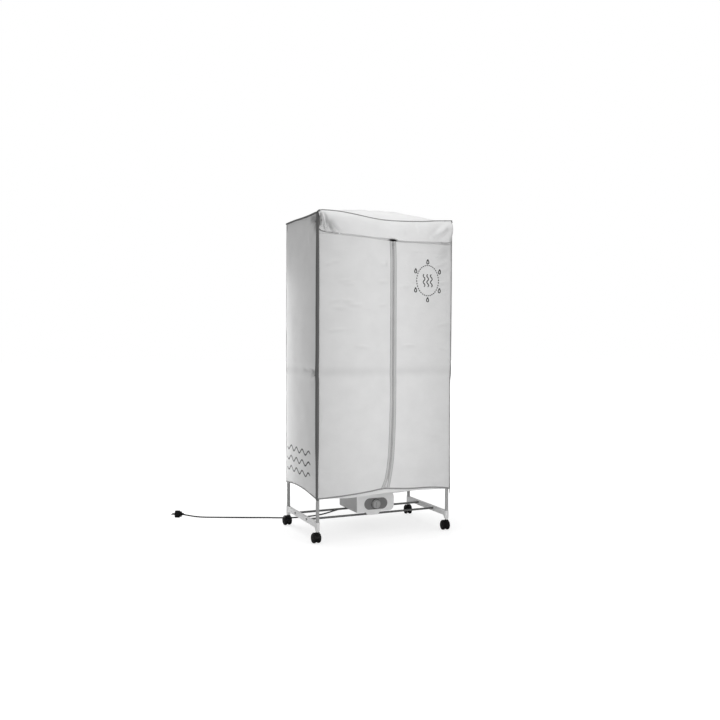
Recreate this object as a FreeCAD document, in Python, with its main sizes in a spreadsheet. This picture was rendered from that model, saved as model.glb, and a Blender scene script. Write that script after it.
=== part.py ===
import FreeCAD, Part
import math
import os
import Sketcher

# Fabric-covered electric drying cabinet on castors: pole frame, warm-air unit and zipped cover.
# Millimetres. The origin is on the floor in the middle of the four poles, +X to the right seen from
# the front, +Y to the back, +Z up. Every piece is drawn about its own natural point and then placed.

V = FreeCAD.Vector
doc = FreeCAD.newDocument("drying_cabinet")

# ---------------------------------------------------------------- driving dimensions
sizes = {
    # frame of poles
    "poles_across": 674, "poles_deep": 400, "pole_radius": 8, "pole_wall": 1,
    "rail_radius": 6, "rod_radius": 5, "rod_spacing": 124, "mid_height": 768, "rail_top_height": 1462,
    "sleeve_radius": 10, "sleeve_half": 31, "socket_radius": 8, "socket_reach": 26, "pole_stop": 1,
    "corner_top": 1497, "corner_bottom": 1440, "cap_high": 12, "rail_start": 12, "rod_lift": 11.6,
    # base brackets and the two bars that carry the warm-air unit
    "leg_bottom": 54, "leg_top": 97, "leg_radius": 10, "foot_radius": 7, "foot_taper": 8,
    "beam_bottom": 73, "beam_thick": 14, "socket_floor": 72, "bar_radius": 5, "bar_height": 88,
    "bar_spacing": 156, "bolt_radius": 2.5, "bolt_hole_radius": 2.6, "bolt_depth": 18,
    "bolt_head_radius": 5.5, "bolt_head_high": 3.2,
    # twin-wheel castors
    "wheel_radius": 23, "wheel_width": 15, "wheel_gap": 5, "castor_trail": 18, "axle_radius": 3,
    "running_gap": 0.05, "stem_radius": 5, "hood_radius": 25, "hood_wall": 1.3, "web_thick": 8,
    "boss_radius": 8.5, "wheel_shoulder": 8, "hood_half": 15,
    # warm-air unit
    "unit_left": -94, "unit_right": 102, "unit_front": -90, "unit_back": 150, "unit_bottom": 98,
    "unit_split": 150, "unit_top": 198, "unit_wall": 2.5, "unit_corner": 36, "unit_low_round": 28,
    "unit_high_round": 35, "unit_rear_round": 48,
    "neck_across": 150, "neck_deep": 120, "neck_top": 226, "neck_back": 30,
    "fascia_front": -95, "fascia_bottom": 99, "chin_half": 32, "chin_middle": -10,
    "chin_bottom": 85, "bezel_across": 122, "bezel_tall": 55, "bezel_middle": 5, "bezel_height": 138,
    "knob_radius": 22, "knob_deep": 17, "knob_across": 4, "knob_height": 137,
    "spindle_radius": 3, "fan_radius": 52, "fan_height": 123, "motor_radius": 24, "shaft_radius": 2.5,
    # cover
    "cover_across": 698, "cover_deep": 424, "cloth": 1.2, "corner_height": 1500,
    "seam_sag": 19, "door_top": 1386, "door_rise": 10, "door_gap": 0.4, "hinge_gap": 1.8, "hem_front": 204,
    "hem_back": 218, "tape_half": 17, "tape_thick": 0.8,
    # mains lead
    "cord_radius": 3.5, "gland_across": 56, "gland_height": 160,
}
sheet = doc.addObject("Spreadsheet::Sheet", "dims")
for row, (alias, value) in enumerate(sizes.items(), start=1):
    sheet.set(f"A{row}", alias)
    sheet.set(f"B{row}", str(value))
    sheet.setAlias(f"B{row}", alias)
doc.recompute()


class Size:
    """A length that knows its value and the sheet expression that gives it."""

    def __init__(self, value, text):
        self.value = value
        self.text = text

    def __add__(self, other):
        return Size(self.value + number(other), f"({self.text} + {text(other)})")

    def __radd__(self, other):
        return self + other

    def __sub__(self, other):
        return Size(self.value - number(other), f"({self.text} - {text(other)})")

    def __rsub__(self, other):
        return self * -1 + other

    def __mul__(self, other):
        return Size(self.value * number(other), f"({self.text} * {text(other)})")

    def __rmul__(self, other):
        return self * other

    def __truediv__(self, other):
        return Size(self.value / number(other), f"({self.text} / {text(other)})")

    def __neg__(self):
        return self * -1


def number(length):
    return length.value if isinstance(length, Size) else float(length)


def text(length):
    return length.text if isinstance(length, Size) else repr(float(length))


def dim(alias):
    """The sheet's length of that name."""
    return Size(float(sheet.get(alias)), f"dims.{alias}")


# ---------------------------------------------------------------- drawing helpers
nodes = {}


def bind(thing, name, length):
    """Gives a property its length, and ties it to the sheet when the length comes from there."""
    if name.startswith("Placement.Base"):
        spot = thing.Placement
        setattr(spot.Base, name[-1], number(length))
        thing.Placement = spot
    else:
        setattr(thing, name, number(length))
    if isinstance(length, Size):
        thing.setExpression(name, length.text)


def put(thing, at=(0, 0, 0), turn=None):
    """Places a thing at a point, turned by (axis, degrees)."""
    if turn:
        thing.Placement = FreeCAD.Placement(V(0, 0, 0), FreeCAD.Rotation(V(*turn[0]), turn[1]))
    for axis, length in zip("xyz", at):
        bind(thing, f"Placement.Base.{axis}", length)
    return thing


along_x = ((0, 1, 0), 90)
along_y = ((1, 0, 0), -90)


def cylinder(radius, height, at=(0, 0, 0), turn=None):
    made = doc.addObject("Part::Cylinder", "cylinder")
    bind(made, "Radius", radius)
    bind(made, "Height", height)
    return put(made, at, turn)


def cone(bottom, top, height, at=(0, 0, 0)):
    made = doc.addObject("Part::Cone", "cone")
    bind(made, "Radius1", bottom)
    bind(made, "Radius2", top)
    bind(made, "Height", height)
    return put(made, at)


def block(low, high):
    """A box between two corners."""
    made = doc.addObject("Part::Box", "block")
    for name, start, end in zip(("Length", "Width", "Height"), low, high):
        bind(made, name, end - start)
    return put(made, low)


def fuse(*parts):
    made = doc.addObject("Part::MultiFuse", "fuse")
    made.Shapes = list(parts)
    made.Refine = True
    return made


def cut(base, *tools):
    made = doc.addObject("Part::Cut", "cut")
    made.Base = base
    made.Tool = fuse(*tools) if len(tools) > 1 else tools[0]
    return made


def common(first, second):
    made = doc.addObject("Part::MultiCommon", "common")
    made.Shapes = [first, second]
    return made


def group(*parts):
    """Pieces of one node that stay separate solids."""
    made = doc.addObject("Part::Compound", "group")
    made.Links = list(parts)
    return made


def node(name, thing, at=None, turn=None):
    """Registers a finished sub-part under the name of its file."""
    if at is not None or turn is not None:
        put(thing, at or (0, 0, 0), turn)
    thing.Label = name
    nodes[name] = thing
    return thing


def new_body(name):
    return doc.addObject("PartDesign::Body", name)


def outline(body, plane, corners):
    """A closed sketch on one of the body's origin planes. A corner is (across, up), or
    (across, up, middle across, middle up) where the edge to the next corner is an arc."""
    sketch = body.newObject("Sketcher::SketchObject", "outline")
    support = [feature for feature in body.Origin.OriginFeatures if feature.Role == plane][0]
    sketch.AttachmentSupport = [(support, "")]
    sketch.MapMode = "FlatFace"
    edges = []
    for corner, following in zip(corners, corners[1:] + corners[:1]):
        start = V(number(corner[0]), number(corner[1]), 0)
        end = V(number(following[0]), number(following[1]), 0)
        edge = Part.LineSegment(start, end)
        forward = True
        if len(corner) == 4:
            middle = V(number(corner[2]), number(corner[3]), 0)
            forward = (middle - start).cross(end - middle).z > 0
            edge = Part.Arc(start, middle, end) if forward else Part.Arc(end, middle, start)
        index = sketch.addGeometry(edge)
        edges.append((index, 1, 2) if forward else (index, 2, 1))
    for corner, edge, following in zip(corners, edges, edges[1:] + edges[:1]):
        index, first, last = edge
        sketch.addConstraint(Sketcher.Constraint("Coincident", index, last, following[0], following[1]))
        hold(sketch, index, first, corner[:2])
        if len(corner) == 4:
            spot = V(number(corner[2]), number(corner[3]), 0)
            point = sketch.addGeometry(Part.Point(spot), True)
            sketch.addConstraint(Sketcher.Constraint("PointOnObject", point, 1, index))
            hold(sketch, point, 1, corner[2:])
    return sketch


def hold(sketch, geometry, end, spot):
    """Fixes a point of a sketch at its two distances from the origin."""
    for kind, length in zip(("DistanceX", "DistanceY"), spot):
        index = sketch.addConstraint(Sketcher.Constraint(kind, geometry, end, number(length)))
        if isinstance(length, Size):
            sketch.setExpression(f"Constraints[{index}]", length.text)


def pad(body, plane, corners, length, middle=False, back=False):
    """Pushes an outline out of its plane, to both sides alike when middle is set."""
    made = body.newObject("PartDesign::Pad", "pad")
    made.Profile = outline(body, plane, corners)
    bind(made, "Length", length)
    made.SideType = "Symmetric" if middle else "One side"
    made.Reversed = back
    return made


def revolve(body, corners):
    """Turns an outline of (radius, along Y) about the Y axis."""
    made = body.newObject("PartDesign::Revolution", "revolution")
    sketch = outline(body, "XY_Plane", corners)
    made.Profile = sketch
    made.ReferenceAxis = (sketch, ["V_Axis"])
    made.Angle = 360
    return made


def rounded(left, bottom, right, top, radii):
    """Corners of a rectangle with arcs: radii for lower left, lower right, upper right, upper left."""
    bulge = 1 - math.sqrt(0.5)
    low_left, low_right, high_right, high_left = radii
    return [
        (left + low_left, bottom),
        (right - low_right, bottom, right - low_right * bulge, bottom + low_right * bulge),
        (right, bottom + low_right),
        (right, top - high_right, right - high_right * bulge, top - high_right * bulge),
        (right - high_right, top),
        (left + high_left, top, left + high_left * bulge, top - high_left * bulge),
        (left, top - high_left),
        (left, bottom + low_left, left + low_left * bulge, bottom + low_left * bulge),
    ]


# ---------------------------------------------------------------- frame of poles
pole_x = dim("poles_across") / 2
pole_y = dim("poles_deep") / 2
corners = {
    "front_left": (-1, -1), "front_right": (1, -1), "rear_left": (-1, 1), "rear_right": (1, 1),
}
beside = {"left": -1, "right": 1}
pole_radius = dim("pole_radius")
mid_height = dim("mid_height")
rail_top_height = dim("rail_top_height")


def tube(radius, wall, length, at, turn=None):
    return put(cut(cylinder(radius, length), cylinder(radius - wall, length)), at, turn)


def make_poles():
    """Two tubes to each corner, which meet at the stop inside the middle connector."""
    for name, (side, depth) in corners.items():
        low = dim("socket_floor")
        lower = tube(pole_radius, dim("pole_wall"), mid_height - dim("pole_stop") - low, (0, 0, 0))
        node(f"lower_pole_{name}", lower, (pole_x * side, pole_y * depth, low))
        start = mid_height + dim("pole_stop")
        upper = tube(pole_radius, dim("pole_wall"), dim("corner_top") - dim("cap_high") - start, (0, 0, 0))
        node(f"upper_pole_{name}", upper, (pole_x * side, pole_y * depth, start))


def sockets(side, depth, height):
    """The two stubs of a connector that point along the rails, and their bores."""
    reach = dim("socket_reach")
    radius = dim("socket_radius")
    bore = dim("rail_radius")
    start = dim("rail_start")
    stubs, bores = [], []
    for turn, sign, axis in ((along_x, -side, 0), (along_y, -depth, 1)):
        at = [0, 0, height]
        hole = [0, 0, height]
        at[axis] = reach * -1 if sign < 0 else 0
        hole[axis] = reach * -1 if sign < 0 else start
        stubs.append(cylinder(radius, reach, at, turn))
        bores.append(cylinder(bore, reach - start, hole, turn))
    return stubs, bores


def make_connectors():
    """Moulded joints that hold the poles and rails, four at mid height and four at the top."""
    middles, tops = [], []
    for side, depth in corners.values():
        half = dim("sleeve_half")
        stop = dim("pole_stop")
        stubs, bores = sockets(side, depth, 0)
        sleeve = fuse(cylinder(dim("sleeve_radius"), half * 2, (0, 0, -half)), *stubs)
        ways = [cylinder(pole_radius, half - stop, (0, 0, start)) for start in (stop, -half)]
        middles.append(put(cut(sleeve, *ways, *bores), (pole_x * side, pole_y * depth, mid_height)))
        low = dim("corner_bottom") - rail_top_height
        high = dim("corner_top") - rail_top_height
        stubs, bores = sockets(side, depth, 0)
        dome = dim("cap_high") / 2
        shell = cylinder(dim("sleeve_radius"), high - dome - low, (0, 0, low))
        cap = cone(dim("sleeve_radius"), dim("sleeve_radius") - 5, dome, (0, 0, high - dome))
        way = cylinder(pole_radius, high - dim("cap_high") - low, (0, 0, low))
        place = (pole_x * side, pole_y * depth, rail_top_height)
        tops.append(put(cut(fuse(shell, cap, *stubs), way, *bores), place))
    node("mid_connectors", group(*middles))
    node("top_corners", group(*tops))


def rod_clip():
    """A moulded saddle that snaps over a side rail and carries a hanging rod above it."""
    half = dim("rod_radius") + 3
    body = block((-half, -half, -3), (half, half, dim("rod_lift") + half))
    rail = cylinder(dim("rail_radius"), half * 2, (0, -half, 0), along_y)
    rod = cylinder(dim("rod_radius"), half * 2, (-half, 0, dim("rod_lift")), along_x)
    return cut(body, rail, rod)


def make_rails():
    """At each level a rectangle of four rails, and two hanging rods clipped on the side rails."""
    start = dim("rail_start")
    across = (pole_x - start) * 2
    deep = (pole_y - start) * 2
    for level, height in (("mid", mid_height), ("top", rail_top_height)):
        for name, side in beside.items():
            rail = tube(dim("rail_radius"), dim("pole_wall"), deep, (0, 0, 0))
            node(f"{level}_side_rail_{name}", rail, (pole_x * side, deep / -2, height), along_y)
        long_rails, rods = [], []
        for depth in (-1, 1):
            place = (across / -2, pole_y * depth, height)
            long_rails.append(tube(dim("rail_radius"), dim("pole_wall"), across, place, along_x))
            rod_y = dim("rod_spacing") / 2 * depth
            length = dim("poles_across") + 16
            place = (length / -2, rod_y, height + dim("rod_lift"))
            rods.append(cylinder(dim("rod_radius"), length, place, along_x))
            rods += [put(rod_clip(), (pole_x * side, rod_y, height)) for side in (-1, 1)]
        node(f"{level}_long_rails", group(*long_rails))
        node(f"{level}_hanging_rods", group(*rods))


# ---------------------------------------------------------------- base brackets, bars and bolts
def make_base():
    leg_top = dim("leg_top")
    bottom = dim("leg_bottom")
    inner = pole_y - dim("leg_radius")
    beam_bottom = dim("beam_bottom")
    thick = dim("beam_thick")
    bar_y = dim("bar_spacing") / 2
    bar_height = dim("bar_height")
    for name, side in beside.items():
        body = new_body(f"beam_{name}")
        pad(body, "YZ_Plane", [
            (-pole_y, leg_top), (pole_y, leg_top), (pole_y, beam_bottom - 13),
            (inner, beam_bottom - 13, inner - 7, beam_bottom - 4), (inner - 25, beam_bottom),
            (25 - inner, beam_bottom, 7 - inner, beam_bottom - 4), (-inner, beam_bottom - 13),
            (-pole_y, beam_bottom - 13),
        ], thick, middle=True)
        solids, holes = [body], []
        for depth in (-1, 1):
            y = pole_y * depth
            taper = dim("foot_taper")
            solids.append(cone(dim("foot_radius"), dim("leg_radius"), taper, (0, y, bottom)))
            solids.append(cylinder(dim("leg_radius"), leg_top - bottom - taper, (0, y, bottom + taper)))
            floor = dim("socket_floor")
            holes.append(cylinder(pole_radius, leg_top - floor, (0, y, floor)))
            holes.append(cylinder(dim("stem_radius") + dim("running_gap"), floor - bottom, (0, y, bottom)))
            hole_at = (thick / -2, bar_y * depth, bar_height)
            holes.append(cylinder(dim("bolt_hole_radius"), thick, hole_at, along_x))
        node(f"base_bracket_{name}", cut(fuse(*solids), *holes), (pole_x * side, 0, 0))

    bar_half = pole_x - thick / 2
    depth_of_bolt = dim("bolt_depth")
    for name, depth in (("front", -1), ("rear", 1)):
        bar = cylinder(dim("bar_radius"), bar_half * 2, (-bar_half, 0, 0), along_x)
        ends = [cylinder(dim("bolt_radius"), depth_of_bolt, (start, 0, 0), along_x)
                for start in (-bar_half, bar_half - depth_of_bolt)]
        node(f"base_bar_{name}", cut(bar, *ends), (0, bar_y * depth, bar_height))

    bolts = []
    head_high = dim("bolt_head_high")
    for side in (-1, 1):
        for depth in (-1, 1):
            shank = cylinder(dim("bolt_radius"), thick + depth_of_bolt, (0, 0, 0), along_x)
            head = cylinder(dim("bolt_head_radius"), head_high, (-head_high, 0, 0), along_x)
            turn = ((0, 0, 1), 180 if side > 0 else 0)
            place = ((pole_x + thick / 2) * side, bar_y * depth, bar_height)
            bolts.append(put(fuse(shank, head), place, turn))
    node("bracket_bolts", group(*bolts))


# ---------------------------------------------------------------- castors
castor_headings = {"front_left": 89, "front_right": 83, "rear_left": 92, "rear_right": 72}


def make_castor(name, heading):
    """One twin-wheel swivel castor. It is drawn trailing along +X with its stem at the origin."""
    side, depth = corners[name]
    trail = dim("castor_trail")
    centre = dim("wheel_radius")
    hood_radius = dim("hood_radius")
    half_width = dim("wheel_gap") + dim("wheel_width")
    web_half = dim("web_thick") / 2
    place = (pole_x * side, pole_y * depth, 0)
    turn = ((0, 0, 1), heading)

    inner_radius = hood_radius - dim("hood_wall")
    shell = cut(
        cylinder(hood_radius, half_width * 2, (trail, -half_width, centre), along_y),
        cylinder(inner_radius, half_width * 2, (trail, -half_width, centre), along_y),
    )
    cover = common(
        shell,
        block((-20, -dim("hood_half"), centre + 3), (trail + 12, dim("hood_half"), centre + hood_radius)),
    )
    disc = cylinder(hood_radius - 0.5, web_half * 2, (trail, -web_half, centre), along_y)
    web = common(disc, block((-20, -web_half, 7), (trail * 2 + 20, web_half, centre + hood_radius)))
    leg_bottom = dim("leg_bottom")
    boss = cut(
        cylinder(dim("boss_radius"), 16, (0, 0, leg_bottom - 16.3)),
        cylinder(inner_radius, half_width * 2, (trail, -half_width, centre), along_y),
    )
    axle = cylinder(dim("axle_radius"), half_width * 2 - 2, (trail, 1 - half_width, centre), along_y)
    yoke = cut(
        fuse(web, cover, boss),
        cylinder(dim("axle_radius"), half_width * 2, (trail, -half_width, centre), along_y),
        cylinder(dim("stem_radius"), 40, (0, 0, leg_bottom - 14)),
    )
    stem = cylinder(dim("stem_radius"), dim("socket_floor") - leg_bottom + 13.5, (0, 0, leg_bottom - 14))
    node(f"castor_yoke_{name}", group(yoke, axle, stem), place, turn)

    radius = dim("wheel_radius")
    near = dim("wheel_gap")
    bore = dim("axle_radius") + dim("running_gap")
    shoulder = dim("wheel_shoulder")
    profile = [
        (bore, near), (radius - 3, near, radius - 0.9, near + 0.9), (radius, near + 3),
        (radius, half_width - shoulder, radius - shoulder * 0.293, half_width - shoulder * 0.293),
        (radius - shoulder, half_width), (radius - shoulder - 1, half_width),
        (radius - shoulder - 2.5, half_width - 2.5), (8.5, half_width - 2.5),
        (7, half_width), (0, half_width), (0, half_width - 0.9), (bore, half_width - 0.9),
    ]
    for which, flip in (("a", 0), ("b", 180)):
        body = new_body(f"wheel_{which}_{name}")
        revolve(body, profile)
        angle = math.radians(heading)
        at = (
            pole_x * side + trail * math.cos(angle),
            pole_y * depth + trail * math.sin(angle),
            centre,
        )
        node(f"castor_wheel_{which}_{name}", body, at, ((0, 0, 1), heading + flip))


# ---------------------------------------------------------------- warm-air unit
unit_sides = ("left", "right", "front", "back", "bottom", "split", "top", "wall")
unit = {name: dim(f"unit_{name}") for name in unit_sides}
unit_middle = (unit["left"] + unit["right"]) / 2


def unit_plan(inset):
    """The unit's outline from above, drawn in by an inset."""
    radii = [dim("unit_corner") - inset if inset else dim("unit_corner")] * 2
    front_radii = [6 - inset, 6 - inset]
    return rounded(
        unit["left"] + inset, unit["front"] + inset, unit["right"] - inset, unit["back"] - inset,
        front_radii + radii,
    )


def slab(name, corners_in, low, high):
    """A plan outline pushed up between two heights."""
    body = new_body(name)
    pad(body, "XY_Plane", corners_in, high - low)
    return put(body, (0, 0, low))


def unit_form(name, inset, low, high):
    """The unit between two heights: rounded in plan, along its right edges and under its back."""
    long = unit["back"] - unit["front"]
    seen_front = new_body(f"{name}_front_form")
    pad(seen_front, "XZ_Plane", rounded(
        unit["left"] + inset, unit["bottom"] + inset, unit["right"] - inset, unit["top"] - inset,
        [4 - inset, dim("unit_low_round") - inset, dim("unit_high_round") - inset, 4 - inset],
    ), long)
    put(seen_front, (0, unit["back"], 0))
    seen_side = new_body(f"{name}_side_form")
    pad(seen_side, "YZ_Plane", rounded(
        unit["front"] + inset, unit["bottom"] + inset, unit["back"] - inset, unit["top"] - inset,
        [3 - inset, dim("unit_rear_round") - inset, 6 - inset, 3 - inset],
    ), unit["right"] - unit["left"])
    put(seen_side, (unit["left"], 0, 0))
    plan = slab(f"{name}_plan", unit_plan(inset), low, high)
    return common(common(plan, seen_front), seen_side)


fan_x = unit_middle
fan_y = dim("neck_back")
slot_pitch = 10.0
intake_radius = 48


def make_unit_shells():
    wall = unit["wall"]
    outer = unit_form("lower_outer", 0, unit["bottom"], unit["split"])
    inner = unit_form("lower_inner", wall, unit["bottom"] + wall, unit["split"])
    clips = []
    grooves = []
    for depth in (-1, 1):
        y = dim("bar_spacing") / 2 * depth
        middle = dim("chin_middle") if depth < 0 else unit_middle
        half = dim("chin_half")
        clips.append(block(
            (middle - half, y - 9, dim("chin_bottom") - 1),
            (middle + half, y + 9, unit["bottom"]),
        ))
        grooves.append(cylinder(dim("bar_radius"), half * 2, (middle - half, y, dim("bar_height")), along_x))
    intake = []
    for step in range(-4, 5):
        slot_y = fan_y + step * slot_pitch
        slot_half = math.sqrt(intake_radius**2 - (step * slot_pitch) ** 2)
        intake.append(block(
            (fan_x - slot_half, slot_y - 3, unit["bottom"]),
            (fan_x + slot_half, slot_y + 3, unit["bottom"] + wall),
        ))
    shaft_hole = cylinder(4, wall, (dim("knob_across"), unit["front"], dim("knob_height")), along_y)
    body = cut(fuse(outer, *clips), inner, *grooves, *intake, shaft_hole)
    node("heater_lower_shell", body)

    neck_left = fan_x - dim("neck_across") / 2
    neck_right = fan_x + dim("neck_across") / 2
    neck_low = fan_y - dim("neck_deep") / 2
    neck_high = fan_y + dim("neck_deep") / 2
    hood = unit_form("upper_outer", 0, unit["split"], unit["top"])
    neck = slab("neck_outer", rounded(neck_left, neck_low, neck_right, neck_high, [12] * 4),
                unit["top"] - 4, dim("neck_top"))
    room = unit_form("upper_inner", wall, unit["split"], unit["top"] - wall)
    inside = rounded(neck_left + wall, neck_low + wall, neck_right - wall, neck_high - wall, [9.5] * 4)
    way = slab("neck_inner", inside, unit["top"] - 6, dim("neck_top"))
    lead_at = (dim("gland_across"), unit["back"] - wall * 2, dim("gland_height"))
    lead_hole = cylinder(6, wall * 2, lead_at, along_y)
    node("heater_upper_shell", cut(fuse(hood, neck), room, way, lead_hole))

    low = dim("neck_top")
    high = low + 4
    rim = 8
    hole = rounded(neck_left + rim, neck_low + rim, neck_right - rim, neck_high - rim, [8] * 4)
    frame = cut(
        slab("grille_outer", rounded(neck_left, neck_low, neck_right, neck_high, [12] * 4), low, high),
        slab("grille_hole", hole, low, high),
    )
    bars = []
    for step in range(-4, 5):
        bar_y = fan_y + step * 11
        bars.append(block(
            (neck_left + rim - 1, bar_y - 1.5, low + 0.5),
            (neck_right - rim + 1, bar_y + 1.5, high - 0.5),
        ))
    node("outlet_grille", fuse(frame, *bars))


def make_controls():
    """The white fascia with its chin, the dark bezel, the timer and its knob."""
    front = dim("fascia_front")
    deep = unit["front"] - front
    height = dim("bezel_height")
    middle = dim("bezel_middle")
    half_long = dim("bezel_across") / 2
    half_tall = dim("bezel_tall") / 2

    def stadium(margin):
        tall = half_tall - margin
        reach = half_long - half_tall
        return [
            (middle - reach, height - tall), (middle + reach, height - tall, middle + reach + tall, height),
            (middle + reach, height + tall), (middle - reach, height + tall, middle - reach - tall, height),
        ]

    low = dim("fascia_bottom")
    chin_left = dim("chin_middle") - dim("chin_half")
    chin_right = dim("chin_middle") + dim("chin_half")
    chin = dim("chin_bottom")
    right = unit["right"]
    top = unit["top"]
    low_round = dim("unit_low_round")
    high_round = dim("unit_high_round")
    plate = new_body("fascia")
    pad(plate, "XZ_Plane", [
        (unit["left"], low), (chin_left - 6, low), (chin_left, chin + 6),
        (chin_left + 6, chin), (chin_right - 6, chin), (chin_right, chin + 6), (chin_right + 6, low),
        (right - low_round, low, right - low_round * 0.293, low + low_round * 0.293),
        (right, low + low_round),
        (right, top - high_round, right - high_round * 0.293, top - high_round * 0.293),
        (right - high_round, top), (unit["left"] + 4, top),
        (unit["left"], top - 4),
    ], deep)
    put(plate, (0, unit["front"], 0))
    window = new_body("window")
    pad(window, "XZ_Plane", stadium(0.0), deep + 4)
    put(window, (0, unit["front"] + 2, 0))
    node("control_fascia", cut(plate, window))

    bezel = new_body("bezel_plate")
    pad(bezel, "XZ_Plane", stadium(0.15), deep + 1.5)
    put(bezel, (0, unit["front"], 0))
    knob_at = (dim("knob_across"), front - 2, dim("knob_height"))
    seat = cylinder(dim("knob_radius") + 1, 4, knob_at, along_y)
    hole = cylinder(4, 12, (dim("knob_across"), front - 2, dim("knob_height")), along_y)
    node("control_bezel", cut(bezel, seat, hole))

    knob = new_body("knob")
    radius = dim("knob_radius")
    long = dim("knob_deep")
    revolve(knob, [
        (0, -long), (radius - 5, -long, radius - 3.2, 0.8 - long), (radius - 2.4, 2.6 - long),
        (radius, 0), (0, 0),
    ])
    grip = block((-3, -long - 2.5, 3 - radius), (3, 1 - long, radius - 3))
    spindle = cylinder(dim("spindle_radius"), 26, (0, -1, 0), along_y)
    node("timer_knob", fuse(knob, grip, spindle), (dim("knob_across"), front + 1.2, dim("knob_height")))

    clear = dim("spindle_radius") + dim("running_gap")
    case = block((-22, 0, -22), (22, 26, 22))
    case = cut(case, cylinder(clear, 20, (0, 0, 0), along_y))
    tabs = block((-30, 0, -6), (30, 1.5, 6))
    tabs = cut(tabs, cylinder(clear, 2, (0, 0, 0), along_y))
    place = (dim("knob_across"), unit["front"] + unit["wall"], dim("knob_height"))
    node("timer_unit", fuse(case, tabs), place)


def make_fan():
    """Motor on the floor of the unit, impeller above it and the heating block in the neck."""
    shaft = dim("shaft_radius")
    low = unit["bottom"] + unit["wall"]
    fan = dim("fan_height")
    can = cylinder(dim("motor_radius"), fan - 6 - low, (0, 0, 0))
    legs = [put(group(block((-34, -5, 0), (34, 5, 2.5))), turn=((0, 0, 1), angle)) for angle in (0, 90)]
    motor = cut(fuse(can, *legs), cylinder(shaft + dim("running_gap"), fan - low, (0, 0, 3)))
    node("fan_motor", motor, (fan_x, fan_y, low))

    hub = cylinder(14, 16, (0, 0, 0))
    spindle = cylinder(shaft, 28, (0, 0, -18))
    blades = []
    for index in range(7):
        blade = group(block((10, -1, -14), (dim("fan_radius") + 2, 1, 14)))
        pitched = group(put(blade, (0, 0, 8), ((1, 0, 0), 52)))
        blades.append(put(pitched, (0, 0, 0), ((0, 0, 1), index * 360 / 7)))
    turned = common(fuse(*blades), cylinder(dim("fan_radius"), 16, (0, 0, 0)))
    node("fan_impeller", fuse(hub, spindle, turned), (fan_x, fan_y, fan))

    half_x = (dim("neck_across") - unit["wall"] * 2 - 8) / 2
    half_y = (dim("neck_deep") - unit["wall"] * 2 - 8) / 2
    high = 22
    frame = block((-half_x, -half_y, 0), (half_x, half_y, high))
    rows = 6
    pitch = half_y * 2 / rows
    gaps = []
    for row in range(rows):
        start = pitch * row - half_y
        gaps.append(block((5 - half_x, start + 3, 0), (half_x - 5, start + pitch - 3, high)))
    lugs = []
    for reach_x, reach_y in ((half_x + 4, 8), (8, half_y + 4)):
        lug = block((-reach_x, -reach_y, 0), (reach_x, reach_y, 3))
        lugs.append(cut(lug, block((1 - half_x, 1 - half_y, 0), (half_x - 1, half_y - 1, 3))))
    node("heating_element", fuse(cut(frame, *gaps), *lugs), (fan_x, fan_y, unit["top"] - 2))


# ---------------------------------------------------------------- cover
half_across = dim("cover_across") / 2
half_deep = dim("cover_deep") / 2
cloth = dim("cloth")
corner_height = dim("corner_height")


def loft(sections):
    """A thin solid through sections. A section is a list of edges, as point pairs or arc triples."""
    wires = []
    for points in sections:
        edges = []
        for edge in points:
            if len(edge) == 3:
                edges.append(Part.Arc(*edge).toShape())
            else:
                edges.append(Part.LineSegment(*edge).toShape())
        wires.append(Part.Wire(edges))
    return Part.makeLoft(wires, True, True)


def cloth_feature(name, shape):
    made = doc.addObject("Part::Feature", name)
    made.Shape = shape
    made.Placement = FreeCAD.Placement()
    return node(name, made)


def arc_strip(start, middle, end, thick):
    """A thin section: an arc above, the same arc one thickness below, and its two ends."""
    down = V(0, 0, -thick)
    return [
        (start, middle, end), (end, end + down),
        (end + down, middle + down, start + down), (start + down, start),
    ]


def make_side_and_back():
    hem_front = dim("hem_front")
    hem_back = dim("hem_back")
    for name, side in beside.items():
        body = new_body(f"cover_{name}_side")
        pad(body, "YZ_Plane", [
            (-half_deep, hem_front, 0, hem_back + 11), (half_deep, hem_back),
            (half_deep, corner_height), (-half_deep, corner_height),
        ], cloth, back=side > 0)
        node(f"cover_{name}_side", body, (half_across * side, 0, 0))
    inside = half_across - cloth
    body = new_body("cover_back")
    pad(body, "XZ_Plane", [
        (-inside, hem_back, 0, hem_back + 10), (inside, hem_back),
        (inside, corner_height, 0, corner_height - dim("seam_sag")), (-inside, corner_height),
    ], cloth)
    node("cover_back", body, (0, half_deep, 0))


# the roof's middle line: how far back, how high
roof_line = (
    (-212, 1484), (-196, 1508), (-160, 1532), (-100, 1546), (-20, 1551), (70, 1548), (140, 1535),
    (190, 1510), (212, 1488),
)
# the floor from left to right: how far across, then its height at the front, the middle and the back
floor_line = (
    (-346.5, 206, 231, 222), (-250, 203, 206, 222), (-180, 200, 190, 222), (0, 208, 182, 222),
    (120, 212, 185, 222), (250, 209, 207, 222), (346.5, 206, 231, 222),
)


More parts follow.
